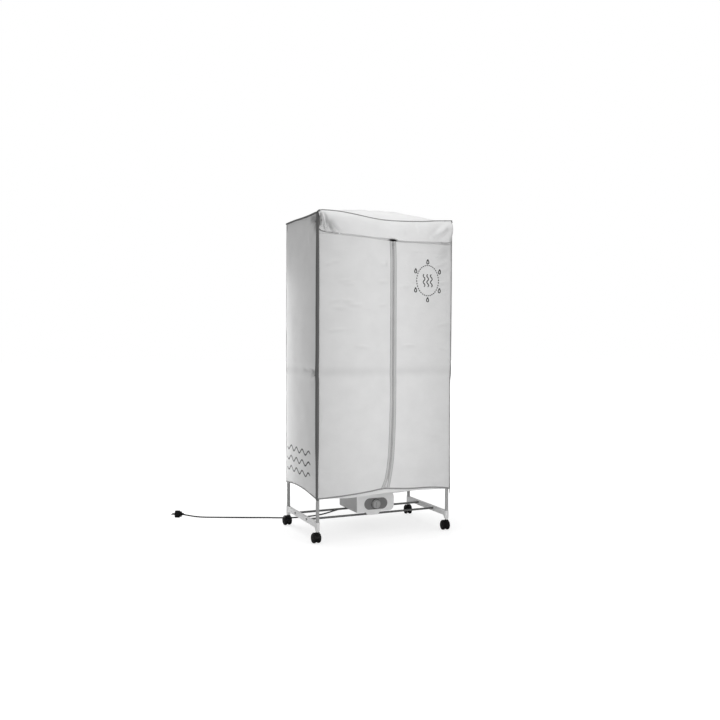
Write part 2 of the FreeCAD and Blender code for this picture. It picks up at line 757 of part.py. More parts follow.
def make_roof_and_floor():
    """The roof puffs up between its seams, and the floor sags round the warm-air unit."""
    thick = number(cloth)
    across = number(half_across)
    edge = number(corner_height) + 1.4
    sections = []
    for y, middle in roof_line:
        sections.append(arc_strip(V(-across, y, edge), V(0, y, middle), V(across, y, edge), thick))
    cloth_feature("cover_roof", loft(sections))

    deep = number(half_deep) - 2
    sections = []
    for x, front, middle, back in floor_line:
        sections.append(arc_strip(V(x, -deep, front), V(x, 0, middle), V(x, deep, back), thick))
    hanging = doc.addObject("Part::Feature", "floor_sheet")
    hanging.Shape = loft(sections)
    gap = 2
    opening = block(
        (unit["left"] - gap, dim("fascia_front") - gap, 150),
        (unit["right"] + gap, unit["back"] + gap, 240),
    )
    notches = []
    for side, depth in corners.values():
        near_x, far_x = sorted(((number(pole_x) - 9) * side, (number(pole_x) + 12) * side))
        near_y, far_y = sorted(((number(pole_y) - 9) * depth, (number(pole_y) + 12) * depth))
        notches.append(block((near_x, near_y, 150), (far_x, far_y, 240)))
    node("cover_floor", cut(hanging, opening, *notches))


# the zip from the hem up: how far across, how high
zip_line = ((-4, 229), (13, 276), (29, 390), (38, 636), (37.5, 1295), (31, 1386))


def zip_edge(shift):
    """Corners along the bowed zip from the hem up to the doors' top edge, moved sideways."""
    corners = [(across + shift, height) for across, height in zip_line[:-1]]
    return corners + [(zip_line[-1][0] + shift, dim("door_top"))]


def make_front():
    """Header behind the flap, and the two zipped halves that fold back like doors."""
    inside = half_across - cloth
    door_top = dim("door_top")
    left_top = door_top + dim("door_rise")
    gap = dim("door_gap")
    header = new_body("cover_header")
    pad(header, "XZ_Plane", [
        (-inside, left_top + gap), (zip_line[-1][0], door_top + gap), (inside, door_top + gap),
        (inside, corner_height, 0, corner_height - dim("seam_sag")), (-inside, corner_height),
    ], cloth, back=True)
    node("cover_header", header, (0, -half_deep, 0))

    edge = inside - dim("hinge_gap")
    hem = dim("hem_front")
    hem_end = zip_line[0]
    half_gap = gap.value / 2
    left = new_body("front_left_cloth")
    left_outline = [(-edge, hem, -180, 213)] + zip_edge(-half_gap) + [(-edge, left_top)]
    pad(left, "XZ_Plane", left_outline, cloth, back=True)
    right = new_body("front_right_cloth")
    right_outline = [(edge, door_top)] + zip_edge(half_gap)[:0:-1]
    right_outline += [(hem_end[0] + half_gap, hem_end[1], 170, 219), (edge, hem)]
    pad(right, "XZ_Plane", right_outline, cloth, back=True)

    for name, half, sign in (("left", left, -1), ("right", right, 1)):
        tape = new_body(f"zip_tape_{name}")
        inner = zip_edge(half_gap * sign)[1:]
        outer = zip_edge(dim("tape_half").value * sign)[1:]
        pad(tape, "XZ_Plane", (inner + outer[::-1])[::sign], dim("tape_thick"))
        node(f"front_panel_{name}", group(half, tape), (0, -half_deep, 0))


flap_sections = (
    # across, seam height, bulge forward, hem height, hem forward
    (-346, 1506, 4, 1412, 3), (-320, 1507, 14, 1403, 9), (-255, 1506, 11, 1402, 8), (-150, 1497, 12, 1401, 9),
    (-20, 1484, 10, 1396, 8), (100, 1483, 11, 1391, 9), (220, 1490, 13, 1391, 9), (320, 1501, 17, 1393, 12),
    (347, 1504, 12, 1412, 8),
)


def make_flap():
    """The valance that hangs from the front seam over the top of the zip."""
    face = -number(half_deep) - 1.6
    thick = number(cloth)
    sections = []
    for across, seam, bulge, hem, forward in flap_sections:
        top = V(across, face, seam)
        middle = V(across, face - bulge, (seam + hem) / 2 - 8)
        low = V(across, face - forward, hem)
        out = V(0, -thick, 0)
        sections.append([
            (top, middle, low), (low, low + out),
            (low + out, middle + out, top + out), (top + out, top),
        ])
    cloth_feature("cover_flap", loft(sections))


slider_at = (31.8, -217.2, 1374)


def make_zip_slider():
    """The slider's front plate with its bridge, and the pull that hangs from the bridge."""
    plate = block((-5, 0, -9), (5, 2, 9))
    bridge = cut(block((-1.5, -3.6, -4), (1.5, 0.2, 5)), block((-2, -2.4, -3), (2, 0, 4)))
    node("zip_slider", fuse(plate, bridge), slider_at)
    pivot = cylinder(0.6, 7.2, (-3.6, 0, 0.25), along_x)
    loop = cut(block((-3.6, -0.5, -7), (3.6, 0.5, 0.25)), block((-2.1, -1, -5.6), (2.1, 1, -0.35)))
    tab = block((-2.6, -0.5, -22), (2.6, 0.5, -6.9))
    across, forward, height = slider_at
    node("zip_pull", fuse(loop, pivot, tab), (across, forward - 1.2, height))


# ---------------------------------------------------------------- mains lead
cord_route = (
    (56, 158, 160), (56, 196, 160), (60, 232, 150), (66, 262, 127), (75, 288, 97), (86, 312, 66),
    (100, 335, 38), (122, 358, 14), (154, 379, 3.5), (192, 402, 3.5), (217, 438, 3.5), (210, 482, 3.5),
    (168, 502, 3.5), (120, 485, 3.5), (74, 458, 3.5), (30, 441, 3.5), (-6, 419, 3.5), (-47, 390, 3.5),
    (-95, 362, 3.5), (-150, 346, 3.5), (-205, 341, 3.5), (-262, 345, 3.5), (-320, 366, 3.5),
    (-387, 400, 3.5), (-470, 437, 3.5), (-556, 477, 3.5), (-640, 517, 3.5), (-700, 544, 4), (-742, 565, 9),
    (-778, 583, 16),
)


def tube_path(route, share=0.45):
    """Straight runs joined by tangent arcs, each as large as its two runs allow."""
    points = [V(*point) for point in route]
    edges = []
    radii = []
    last = points[0]
    for before, here, after in zip(points, points[1:], points[2:]):
        back = (before - here).normalize()
        ahead = (after - here).normalize()
        turn = math.pi - math.acos(max(-1, min(1, back.dot(ahead))))
        trim = share * min((before - here).Length, (after - here).Length)
        radius = trim / math.tan(turn / 2)
        start = here + back * trim
        end = here + ahead * trim
        inward = (back + ahead).normalize()
        middle = here + inward * (math.hypot(radius, trim) - radius)
        edges.append(Part.LineSegment(last, start).toShape())
        edges.append(Part.Arc(start, middle, end).toShape())
        radii.append(radius)
        last = end
    edges.append(Part.LineSegment(last, points[-1]).toShape())
    return Part.Wire(edges), radii


def make_lead():
    radius = number(dim("cord_radius"))
    path, radii = tube_path(cord_route)
    first = V(*cord_route[0])
    direction = (V(*cord_route[1]) - first).normalize()
    ring = Part.Wire(Part.makeCircle(radius, first, direction))
    lead = path.makePipeShell([ring], True, False)
    section = math.pi * radius**2
    print("lead: length", round(path.Length), "tightest radius", round(min(radii)),
          "volume share", round(lead.Volume / (section * path.Length), 4))
    cloth_feature("supply_cord", lead)

    gland = fuse(
        cylinder(9, 4, (0, 0, 0), along_y),
        cylinder(5.9, number(unit["wall"]) + 3, (0, -number(unit["wall"]) - 3, 0), along_y),
    )
    place = (dim("gland_across"), unit["back"], dim("gland_height"))
    sleeve = doc.addObject("Part::Cone", "strain_relief")
    sleeve.Radius1 = 6.5
    sleeve.Radius2 = 4.6
    sleeve.Height = 24
    put(sleeve, (0, 4, 0), along_y)
    way = cylinder(radius + 0.1, 40, (0, 8, 0), along_y)
    node("cord_gland", cut(fuse(gland, sleeve), way), place)

    end = V(*cord_route[-1])
    ahead = (end - V(*cord_route[-2])).normalize()
    turn = math.degrees(math.atan2(ahead.y, ahead.x))
    grip = doc.addObject("Part::Cone", "plug_neck")
    grip.Radius1 = 5
    grip.Radius2 = 8.5
    grip.Height = 22
    put(grip, (0, 0, 0), along_x)
    body = cylinder(18.5, 22, (22, 0, 0), along_x)
    waist = cylinder(14, 14, (12, 0, 0), along_x)
    pins = [cylinder(2.4, 19, (44, across, 0), along_x) for across in (-9.5, 9.5)]
    node("mains_plug", fuse(grip, waist, body, *pins), (end.x, end.y, 18.5), ((0, 0, 1), turn))


# ---------------------------------------------------------------- build, check and write
make_poles()
make_connectors()
make_rails()
make_base()
for castor, heading in castor_headings.items():
    make_castor(castor, heading)
make_unit_shells()
make_controls()
make_fan()
make_side_and_back()
make_roof_and_floor()
make_front()
make_flap()
make_zip_slider()
make_lead()
doc.recompute()

failed = [made.Name for made in doc.Objects if "Invalid" in made.State or "Error" in made.State]
failed += [name for name, made in nodes.items() if made.Shape.isNull() or not made.Shape.isValid()]
if failed:
    raise RuntimeError(f"these did not build: {failed}")
os.makedirs("parts", exist_ok=True)
for name, made in nodes.items():
    made.Shape.exportStep(f"parts/{name}.step")
print(len(nodes), "nodes")
for name, made in nodes.items():
    box = made.Shape.optimalBoundingBox()
    print(f"{name:28s} {len(made.Shape.Solids)} solids  x {box.XMin:.1f} {box.XMax:.1f}"
          f"  y {box.YMin:.1f} {box.YMax:.1f}  z {box.ZMin:.1f} {box.ZMax:.1f}")
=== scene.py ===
import bpy, bmesh, math
from mathutils import Euler, Matrix, Vector, noise


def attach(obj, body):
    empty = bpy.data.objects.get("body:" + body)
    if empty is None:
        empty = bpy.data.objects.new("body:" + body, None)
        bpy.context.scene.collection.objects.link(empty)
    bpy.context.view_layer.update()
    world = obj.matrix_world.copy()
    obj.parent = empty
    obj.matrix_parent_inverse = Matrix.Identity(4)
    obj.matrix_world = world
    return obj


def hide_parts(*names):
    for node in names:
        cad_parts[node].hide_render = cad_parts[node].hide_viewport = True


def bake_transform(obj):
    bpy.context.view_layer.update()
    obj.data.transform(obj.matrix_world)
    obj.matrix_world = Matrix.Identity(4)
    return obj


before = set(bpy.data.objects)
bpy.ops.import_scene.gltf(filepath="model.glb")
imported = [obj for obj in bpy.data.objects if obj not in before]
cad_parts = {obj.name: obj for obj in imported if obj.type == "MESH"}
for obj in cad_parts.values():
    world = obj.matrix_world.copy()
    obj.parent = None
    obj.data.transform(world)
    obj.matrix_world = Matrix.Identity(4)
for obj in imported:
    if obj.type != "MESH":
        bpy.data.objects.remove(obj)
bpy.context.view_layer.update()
bpy.ops.object.select_all(action="DESELECT")
print("frame loaded:", len(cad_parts), "nodes")

# metres; the origin is on the floor between the four poles, +X right, +Y back, +Z up
cover = {
    "halfAcross": 0.349, "halfDeep": 0.212, "cornerHigh": 1.500, "footHigh": 0.18, "thick": 0.0008,
    # the rail at mid height: how its painted shade shows, and how it holds the cloth in
    "railHigh": 0.781, "railShade": 0.92, "railShadeHalf": 0.034, "railReach": 0.034, "railHolds": 0.95,
    # the puff between the poles fades over this height at both ends, and falls off by this power
    "endFade": 0.14, "puffPower": 2.4,
    "hemLift": 0.003, "hemWide": 0.007, "hemThick": 0.0011,
}


def tone(value):
    # a grey as it looks on screen, turned into the linear value that a shader takes
    linear = ((value + 0.055) / 1.055) ** 2.4
    return (linear, linear, linear, 1.0)


def smoothLine(points, at):
    # a smooth curve through (place, value) points, flat beyond its two ends
    if at <= points[0][0]:
        return points[0][1]
    if at >= points[-1][0]:
        return points[-1][1]
    slopes = []
    for index in range(len(points)):
        before = points[max(index - 1, 0)]
        after = points[min(index + 1, len(points) - 1)]
        slopes.append((after[1] - before[1]) / (after[0] - before[0]))
    for index in range(len(points) - 1):
        (a, low), (b, high) = points[index], points[index + 1]
        if at <= b:
            t = (at - a) / (b - a)
            span = b - a
            return (
                (2 * t**3 - 3 * t**2 + 1) * low + (t**3 - 2 * t**2 + t) * span * slopes[index]
                + (3 * t**2 - 2 * t**3) * high + (t**3 - t**2) * span * slopes[index + 1]
            )


def spaced(start, end, count):
    return [start + (end - start) * step / count for step in range(count + 1)]


def chained(marks, counts):
    # stations that pass through every mark, with the given number of steps between marks
    stations = [marks[0]]
    for start, end, count in zip(marks, marks[1:], counts):
        stations += spaced(start, end, count)[1:]
    return stations


def clamped(value):
    return min(1.0, max(0.0, value))


def nearRun(run, wide, across, up):
    # the nearest place on a straight run, from 0 to 1 along it, and how far off it is;
    # past three widths from it a run has nothing left to give
    a0, b0, a1, b1 = run
    runA, runB = a1 - a0, b1 - b0
    if abs(up - b0) > abs(runB) + wide * 3:
        return None
    t = clamped(((across - a0) * runA + (up - b0) * runB) / (runA**2 + runB**2))
    return t, math.hypot(across - a0 - runA * t, up - b0 - runB * t)


def creaseHeight(creases, across, up):
    # soft ridges and dents: each is (across, up) to (across, up), its height and its width
    total = 0.0
    for run, height, wide in creases:
        near = nearRun(run, wide, across, up)
        if near:
            swell = 0.35 + 0.65 * math.sin(math.pi * near[0])  # lower at its two ends
            total += height * swell * math.exp(-((near[1] / wide) ** 2))
    return total


def ripple(across, up, scale, height, seed):
    return height * noise.noise(Vector((across / scale, up / scale, seed)))


def tidyUp(piece, smooth=None):
    bpy.ops.object.select_all(action="DESELECT")
    piece.select_set(True)
    bpy.context.view_layer.objects.active = piece
    if smooth is None:
        bpy.ops.object.shade_smooth()
    else:
        bpy.ops.object.shade_smooth_by_angle(angle=math.radians(smooth))
    bpy.ops.object.select_all(action="DESELECT")
    return piece


def useModifier(piece, kind, **values):
    bpy.ops.object.select_all(action="DESELECT")
    piece.select_set(True)
    bpy.context.view_layer.objects.active = piece
    bpy.ops.object.modifier_add(type=kind)
    modifier = piece.modifiers[-1]
    for name, value in values.items():
        setattr(modifier, name, value)
    bpy.ops.object.modifier_apply(modifier=modifier.name)
    piece.select_set(False)


def paint(piece, material, body=None):
    piece.data.materials.clear()
    piece.data.materials.append(material)
    if body:
        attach(piece, body)
    return piece


def flatMap(piece, first, second):
    # UVs in metres, read off two of the piece's own axes
    layer = piece.data.uv_layers.active or piece.data.uv_layers.new(name="cloth")
    for loop in piece.data.loops:
        spot = piece.data.vertices[loop.vertex_index].co
        layer.data[loop.index].uv = (spot[first], spot[second])


def paintLightAndShade(piece, paintedRuns, first, second, taper=0.0):
    # painted shade: how dark the cloth is painted along each run: (a, b) to (a, b) on two of its axes, width,
    # depth; a negative depth paints a highlight
    layer = piece.data.attributes.new("dim", "FLOAT", "POINT")
    for vertex in piece.data.vertices:
        left = 1.0
        for run, wide, deep in paintedRuns:
            near = nearRun(run, wide, vertex.co[first], vertex.co[second])
            if near:
                ends = 1 - taper * (2 * near[0] - 1) ** 2
                left *= 1 - deep * ends * math.exp(-((near[1] / wide) ** 2))
        layer.data[vertex.index].value = 1 - left


def sheetPiece(name, acrossStations, upStations, place, outward, axes, holes=()):
    # a cloth panel: a grid whose crossings are put where place(across, up) says
    columns, rows = len(acrossStations) - 1, len(upStations) - 1
    bpy.ops.mesh.primitive_grid_add(x_subdivisions=columns, y_subdivisions=rows, size=1)
    piece = bpy.context.object
    piece.name = name
    for vertex in piece.data.vertices:
        column = round((vertex.co.x + 0.5) * columns)
        row = round((vertex.co.y + 0.5) * rows)
        vertex.co = place(acrossStations[column], upStations[row])
    if holes:
        bpy.ops.object.mode_set(mode="EDIT")
        bpy.ops.mesh.select_all(action="DESELECT")
        mesh = bmesh.from_edit_mesh(piece.data)
        for face in mesh.faces:
            x, y, z = face.calc_center_median()
            face.select = any(left < x < right and near < y < far for left, right, near, far in holes)
        bmesh.update_edit_mesh(piece.data)
        bpy.ops.mesh.delete(type="FACE")
        bpy.ops.object.mode_set(mode="OBJECT")
    piece.select_set(False)
    thicken(piece, cover["thick"], outward)
    flatMap(piece, *axes)
    return tidyUp(piece)


def thicken(piece, thick, outward):
    # gives the cloth its thickness on the inner side, after its faces have been turned outwards
    normal = sum((face.normal * face.area for face in piece.data.polygons), Vector())
    if normal.dot(Vector(outward)) < 0:
        piece.data.flip_normals()
    useModifier(piece, "SOLIDIFY", thickness=thick, offset=-1.0)


# a tape's section: place across half its width, share of its thickness
tapeSection = ((-1, 0), (-0.86, 0.8), (-0.4, 1), (0.4, 1), (0.86, 0.8), (1, 0))


def ribbon(name, points, outwards, wide, thick, material, body=None, across=0, lift=0.0):
    # a tape of one width along points; outwards gives the way that its face looks at each point
    bpy.ops.mesh.primitive_plane_add(size=1)
    piece = bpy.context.object
    piece.name = name
    mesh = bmesh.new()
    rows = []
    for index, point in enumerate(points):
        ahead = Vector(points[min(index + 1, len(points) - 1)]) - Vector(points[max(index - 1, 0)])
        face = Vector(outwards[index] if isinstance(outwards, list) else outwards).normalized()
        side = ahead.cross(face).normalized()
        middle = Vector(point) + face * lift
        row = []
        for sideways, height in tapeSection:
            row.append(mesh.verts.new(middle + side * sideways * wide / 2 + face * thick * height))
        rows.append(row)
    for before, after in zip(rows, rows[1:]):
        for k in range(len(tapeSection)):
            j = (k + 1) % len(tapeSection)
            mesh.faces.new((before[k], before[j], after[j], after[k]))
    mesh.faces.new(rows[0])
    mesh.faces.new(rows[-1][::-1])
    bmesh.ops.recalc_face_normals(mesh, faces=mesh.faces)
    mesh.to_mesh(piece.data)
    mesh.free()
    piece.select_set(False)
    flatMap(tidyUp(piece, 50), across, 2)
    return paint(piece, material, body)


def tubeCurve(name, points, radius, steps, sides):
    # a round cord along a smooth curve of points
    curve = bpy.data.curves.new(name, "CURVE")
    curve.dimensions = "3D"
    spline = curve.splines.new("NURBS")
    spline.points.add(len(points) - 1)
    for knot, point in zip(spline.points, points):
        knot.co = (*point, 1.0)
    spline.order_u = 3
    spline.use_endpoint_u = True
    spline.resolution_u = steps
    curve.bevel_depth = radius
    curve.bevel_resolution = sides
    curve.use_fill_caps = True
    piece = bpy.data.objects.new(name, curve)
    bpy.context.collection.objects.link(piece)
    return piece


def piping(name, points, radius, material):
    # a corded seam of the part of the cover that stays on the frame
    seam = tubeCurve(name, points, radius, 4, 3)
    seam.select_set(True)
    bpy.context.view_layer.objects.active = seam
    bpy.ops.object.convert(target="MESH")
    return paint(tidyUp(bpy.context.object), material, "frame")


relief = {
    # what all finishes share: the scale of the mottling and the gloss of a coat
    "mottleScale": 12, "coatRough": 0.1,
    # the cloth's threads and folds: how bent they are, how strong and how deep
    "threadBend": 0.6, "weaveStrength": 0.25, "weaveDeep": 0.0002,
    "foldBend": 0.8, "foldScale": (5, 14, 5), "foldDeep": 0.004,
    # the grain of the hard parts: how deep it is, and how far the gloss strays
    "grainDeep": 0.0004, "glossSpread": 0.07,
}


def newMaterial(name, look):
    made = bpy.data.materials.new(name)
    made.use_nodes = True
    shader = made.node_tree.nodes["Principled BSDF"]
    shader.inputs["Roughness"].default_value = look.get("rough", 0.5)
    shader.inputs["Metallic"].default_value = look.get("metal", 0.0)
    shader.inputs["Specular IOR Level"].default_value = look.get("shine", 0.5)
    shader.inputs["Sheen Weight"].default_value = look.get("sheen", 0.0)
    shader.inputs["Coat Weight"].default_value = look.get("coat", 0.0)
    shader.inputs["Coat Roughness"].default_value = relief["coatRough"]
    return made, made.node_tree.nodes, made.node_tree.links, shader


def mottled(nodes, links, shader, vector, look):
    # two close tones mixed by a soft noise, so that no surface is one flat colour
    spots = nodes.new("ShaderNodeTexNoise")
    spots.inputs["Scale"].default_value = relief["mottleScale"]
    spots.inputs["Detail"].default_value = 4
    ramp = nodes.new("ShaderNodeValToRGB")
    ramp.color_ramp.elements[0].position = 0.3
    ramp.color_ramp.elements[0].color = look["dark"]
    ramp.color_ramp.elements[1].position = 0.7
    ramp.color_ramp.elements[1].color = look["light"]
    links.new(vector, spots.inputs["Vector"])
    links.new(spots.outputs["Fac"], ramp.inputs["Fac"])
    links.new(ramp.outputs["Color"], shader.inputs["Base Color"])
    return ramp


def shadeRail(nodes, links, shader, place, ramp):
    # painted shade: the middle rail's shadow through the thin cloth, as a faint darker band in the colour
    split = nodes.new("ShaderNodeSeparateXYZ")
    away = nodes.new("ShaderNodeMath")
    away.operation = "SUBTRACT"
    away.inputs[1].default_value = cover["railHigh"]
    size = nodes.new("ShaderNodeMath")
    size.operation = "ABSOLUTE"
    fade = nodes.new("ShaderNodeMapRange")
    fade.interpolation_type = "SMOOTHSTEP"
    fade.inputs["From Max"].default_value = cover["railShadeHalf"]
    fade.inputs["To Min"].default_value = cover["railShade"]
    tint = nodes.new("ShaderNodeVectorMath")
    tint.operation = "SCALE"
    links.new(place, split.inputs[0])
    links.new(split.outputs["Y"], away.inputs[0])
    links.new(away.outputs["Value"], size.inputs[0])
    links.new(size.outputs["Value"], fade.inputs["Value"])
    links.new(ramp.outputs["Color"], tint.inputs[0])
    links.new(fade.outputs["Result"], tint.inputs["Scale"])
    links.new(tint.outputs["Vector"], shader.inputs["Base Color"])


def applyPaintedShading(nodes, links, shader):
    # painted shade and highlight: the colour is scaled by one less its "dim" values, darker where the cloth
    # is bunched up or pressed on a joint
    spot = nodes.new("ShaderNodeAttribute")
    spot.attribute_name = "dim"
    rest = nodes.new("ShaderNodeMath")
    rest.operation = "SUBTRACT"
    rest.inputs[0].default_value = 1.0
    tint = nodes.new("ShaderNodeVectorMath")
    tint.operation = "SCALE"
    colour = shader.inputs["Base Color"].links[0].from_socket
    links.new(spot.outputs["Fac"], rest.inputs[1])
    links.new(rest.outputs["Value"], tint.inputs["Scale"])
    links.new(colour, tint.inputs[0])
    links.new(tint.outputs["Vector"], shader.inputs["Base Color"])


def clothMaterial(name, look):
    # thin coated cloth: crossed threads, faint slubs and small handling creases
    made, nodes, links, shader = newMaterial(name, look)
    place = nodes.new("ShaderNodeTexCoord").outputs["UV"]
    ramp = mottled(nodes, links, shader, place, look)
    if look.get("railShadePainted"):
        shadeRail(nodes, links, shader, place, ramp)
    applyPaintedShading(nodes, links, shader)
    height = None
    for direction in ("X", "Y"):
        threads = nodes.new("ShaderNodeTexWave")
        threads.bands_direction = direction
        threads.inputs["Scale"].default_value = look["threads"]
        threads.inputs["Distortion"].default_value = relief["threadBend"]
        threads.inputs["Detail"].default_value = 1
        links.new(place, threads.inputs["Vector"])
        if height is None:
            height = threads.outputs["Fac"]
            continue
        both = nodes.new("ShaderNodeMath")
        both.operation = "MAXIMUM"
        links.new(height, both.inputs[0])
        links.new(threads.outputs["Fac"], both.inputs[1])
        height = both.outputs["Value"]
    weave = nodes.new("ShaderNodeBump")
    weave.inputs["Strength"].default_value = relief["weaveStrength"]
    weave.inputs["Distance"].default_value = relief["weaveDeep"]
    links.new(height, weave.inputs["Height"])
    folds = nodes.new("ShaderNodeTexNoise")
    folds.inputs["Scale"].default_value = 1.0
    folds.inputs["Detail"].default_value = 3
    folds.inputs["Distortion"].default_value = relief["foldBend"]
    mapping = nodes.new("ShaderNodeMapping")
    mapping.inputs["Scale"].default_value = relief["foldScale"]
    links.new(place, mapping.inputs["Vector"])
    links.new(mapping.outputs["Vector"], folds.inputs["Vector"])
    creases = nodes.new("ShaderNodeBump")
    creases.inputs["Strength"].default_value = look.get("folds", 0.35)
    creases.inputs["Distance"].default_value = relief["foldDeep"]
    links.new(folds.outputs["Fac"], creases.inputs["Height"])
    links.new(weave.outputs["Normal"], creases.inputs["Normal"])
    links.new(creases.outputs["Normal"], shader.inputs["Normal"])
    return made


def hardMaterial(name, look):
    # painted steel or moulded plastic: a fine grain, and an uneven gloss
    made, nodes, links, shader = newMaterial(name, look)
    place = nodes.new("ShaderNodeTexCoord").outputs["Object"]
    mottled(nodes, links, shader, place, look)
    grain = nodes.new("ShaderNodeTexNoise")
    grain.inputs["Scale"].default_value = look.get("grain", 900)
    grain.inputs["Detail"].default_value = 3
    links.new(place, grain.inputs["Vector"])
    bump = nodes.new("ShaderNodeBump")
    bump.inputs["Strength"].default_value = look.get("rub", 0.08)
    bump.inputs["Distance"].default_value = relief["grainDeep"]
    links.new(grain.outputs["Fac"], bump.inputs["Height"])
    links.new(bump.outputs["Normal"], shader.inputs["Normal"])
    wear = nodes.new("ShaderNodeMapRange")
    wear.inputs["To Min"].default_value = look["rough"] - relief["glossSpread"]
    wear.inputs["To Max"].default_value = look["rough"] + relief["glossSpread"]
    links.new(grain.outputs["Fac"], wear.inputs["Value"])
    links.new(wear.outputs["Result"], shader.inputs["Roughness"])
    return made


looks = {
    "coverCloth": {
        "light": tone(0.885), "dark": tone(0.865), "rough": 0.62, "sheen": 0.12, "threads": 420, "folds": 0.5,
        # painted shade: the rail's darker band is painted into this cloth
        "railShadePainted": True,
    },
    # painted light: the same cloth as coverCloth, painted lighter on the roof, flap and floor cloth for the
    # light they catch
    "clothPaintedLighter": {"light": tone(0.915), "dark": tone(0.895), "rough": 0.60, "sheen": 0.12, "threads": 420},
    # painted shade: the same piping as greyTrim, painted darker where it stands in shade
    "trimPaintedDarker": {"light": tone(0.400), "dark": tone(0.360), "rough": 0.72, "threads": 500, "folds": 0.1},
    "greyTrim": {"light": tone(0.580), "dark": tone(0.540), "rough": 0.72, "threads": 500, "folds": 0.1},
    "paleTrim": {"light": tone(0.770), "dark": tone(0.740), "rough": 0.72, "threads": 500, "folds": 0.1},
    "zipTape": {"light": tone(0.770), "dark": tone(0.740), "rough": 0.70, "threads": 600, "folds": 0.1},
    "zipCoil": {"light": tone(0.760), "dark": tone(0.720), "rough": 0.42, "grain": 500},
    "zipMetal": {"light": tone(0.700), "dark": tone(0.650), "rough": 0.40, "metal": 0.3, "grain": 500},
    # painted shade: the knob's clearance is made near-black to stand for the shadow round the knob
    "gap": {"light": tone(0.160), "dark": tone(0.140), "rough": 0.80, "shine": 0.1, "grain": 500},
    "print": {"light": tone(0.160), "dark": tone(0.130), "rough": 0.55, "threads": 420, "folds": 0.0},
    "pole": {"light": tone(0.680), "dark": tone(0.640), "rough": 0.38, "coat": 0.2, "grain": 600},
    "rail": {"light": tone(0.720), "dark": tone(0.690), "rough": 0.40, "coat": 0.2, "grain": 600},
    "rod": {"light": tone(0.880), "dark": tone(0.850), "rough": 0.35, "coat": 0.3, "grain": 600},
    "joint": {"light": tone(0.440), "dark": tone(0.400), "rough": 0.52, "grain": 700},
    "bracket": {"light": tone(0.930), "dark": tone(0.905), "rough": 0.34, "coat": 0.3, "grain": 500},
    "bar": {"light": tone(0.420), "dark": tone(0.340), "rough": 0.42, "coat": 0.2, "grain": 600},
    "bolt": {"light": tone(0.700), "dark": tone(0.600), "rough": 0.35, "metal": 0.8, "grain": 900},
    "castor": {"light": tone(0.070), "dark": tone(0.045), "rough": 0.36, "shine": 0.15, "grain": 700},
    "wheel": {"light": tone(0.080), "dark": tone(0.055), "rough": 0.50, "shine": 0.15, "grain": 400},
    # painted shade: the heater's shells are the same white plastic as the fascia, painted greyer for the
    # shade on their sides
    "shell": {"light": tone(0.700), "dark": tone(0.680), "rough": 0.48, "grain": 800},
    "fascia": {"light": tone(0.930), "dark": tone(0.915), "rough": 0.40, "coat": 0.2, "grain": 800},
    "bezel": {"light": tone(0.480), "dark": tone(0.450), "rough": 0.50, "grain": 800},
    "knob": {"light": tone(0.640), "dark": tone(0.610), "rough": 0.46, "grain": 800},
    "grille": {"light": tone(0.520), "dark": tone(0.490), "rough": 0.55, "grain": 800},
    "alloy": {"light": tone(0.780), "dark": tone(0.720), "rough": 0.35, "metal": 0.9, "grain": 700},
    "moulding": {"light": tone(0.230), "dark": tone(0.190), "rough": 0.50, "grain": 800},
    "lead": {"light": tone(0.080), "dark": tone(0.060), "rough": 0.50, "shine": 0.15, "rub": 0.01},
}
clothNames = ("coverCloth", "clothPaintedLighter", "trimPaintedDarker", "greyTrim", "paleTrim", "zipTape", "print")
finish = {
    name: clothMaterial(name, look) if name in clothNames else hardMaterial(name, look)
    for name, look in looks.items()
}
print("materials made:", len(finish))


camera = {
    # metres, degrees and millimetres
    "spot": (-1.66235, -3.61576, 0.92118), "turnRight": 24.175, "tipDown": 1.329, "roll": 0.245,
    "lens": 40.506, "sensor": 36,
}


def makeCamera():
    tilt = Euler((math.radians(90 - camera["tipDown"]), 0, math.radians(-camera["turnRight"])))
    turned = tilt.to_matrix() @ Matrix.Rotation(math.radians(camera["roll"]), 3, "Z")
    bpy.ops.object.camera_add(location=camera["spot"], rotation=turned.to_euler())
    eye = bpy.context.object
    eye.data.lens = camera["lens"]
    eye.data.sensor_width = camera["sensor"]
    bpy.context.scene.camera = eye
    eye.select_set(False)


lead = {
    "radius": 0.0035, "length": 1.51,
    # from the gland on the heater's rear face, over the floor, to the plug
    "route": (
        (0.056, 0.158, 0.160), (0.056, 0.196, 0.160), (0.060, 0.232, 0.150), (0.066, 0.262, 0.127),
        (0.075, 0.288, 0.097), (0.086, 0.312, 0.066), (0.100, 0.335, 0.038), (0.122, 0.358, 0.014),
        (0.154, 0.379, 0.0035), (0.192, 0.402, 0.0035), (0.217, 0.438, 0.0035), (0.210, 0.482, 0.0035),
        (0.168, 0.502, 0.0035), (0.120, 0.485, 0.0035), (0.074, 0.458, 0.0035), (0.030, 0.441, 0.0035),
        (-0.006, 0.419, 0.0035), (-0.047, 0.390, 0.0035), (-0.095, 0.362, 0.0035), (-0.150, 0.346, 0.0035),
        (-0.205, 0.341, 0.0035), (-0.262, 0.345, 0.0035), (-0.320, 0.366, 0.0035), (-0.387, 0.400, 0.0035),
        (-0.470, 0.437, 0.0035), (-0.556, 0.477, 0.0035), (-0.640, 0.517, 0.0035), (-0.700, 0.544, 0.004),
        (-0.742, 0.565, 0.009), (-0.778, 0.583, 0.016),
    ),
}


def makeLead():
    piece = tubeCurve("mainsLead", lead["route"], lead["radius"], 8, 4)
    paint(piece, finish["lead"], "frame")
    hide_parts("supply_cord")


makeCamera()
makeLead()
print("camera and lead made")


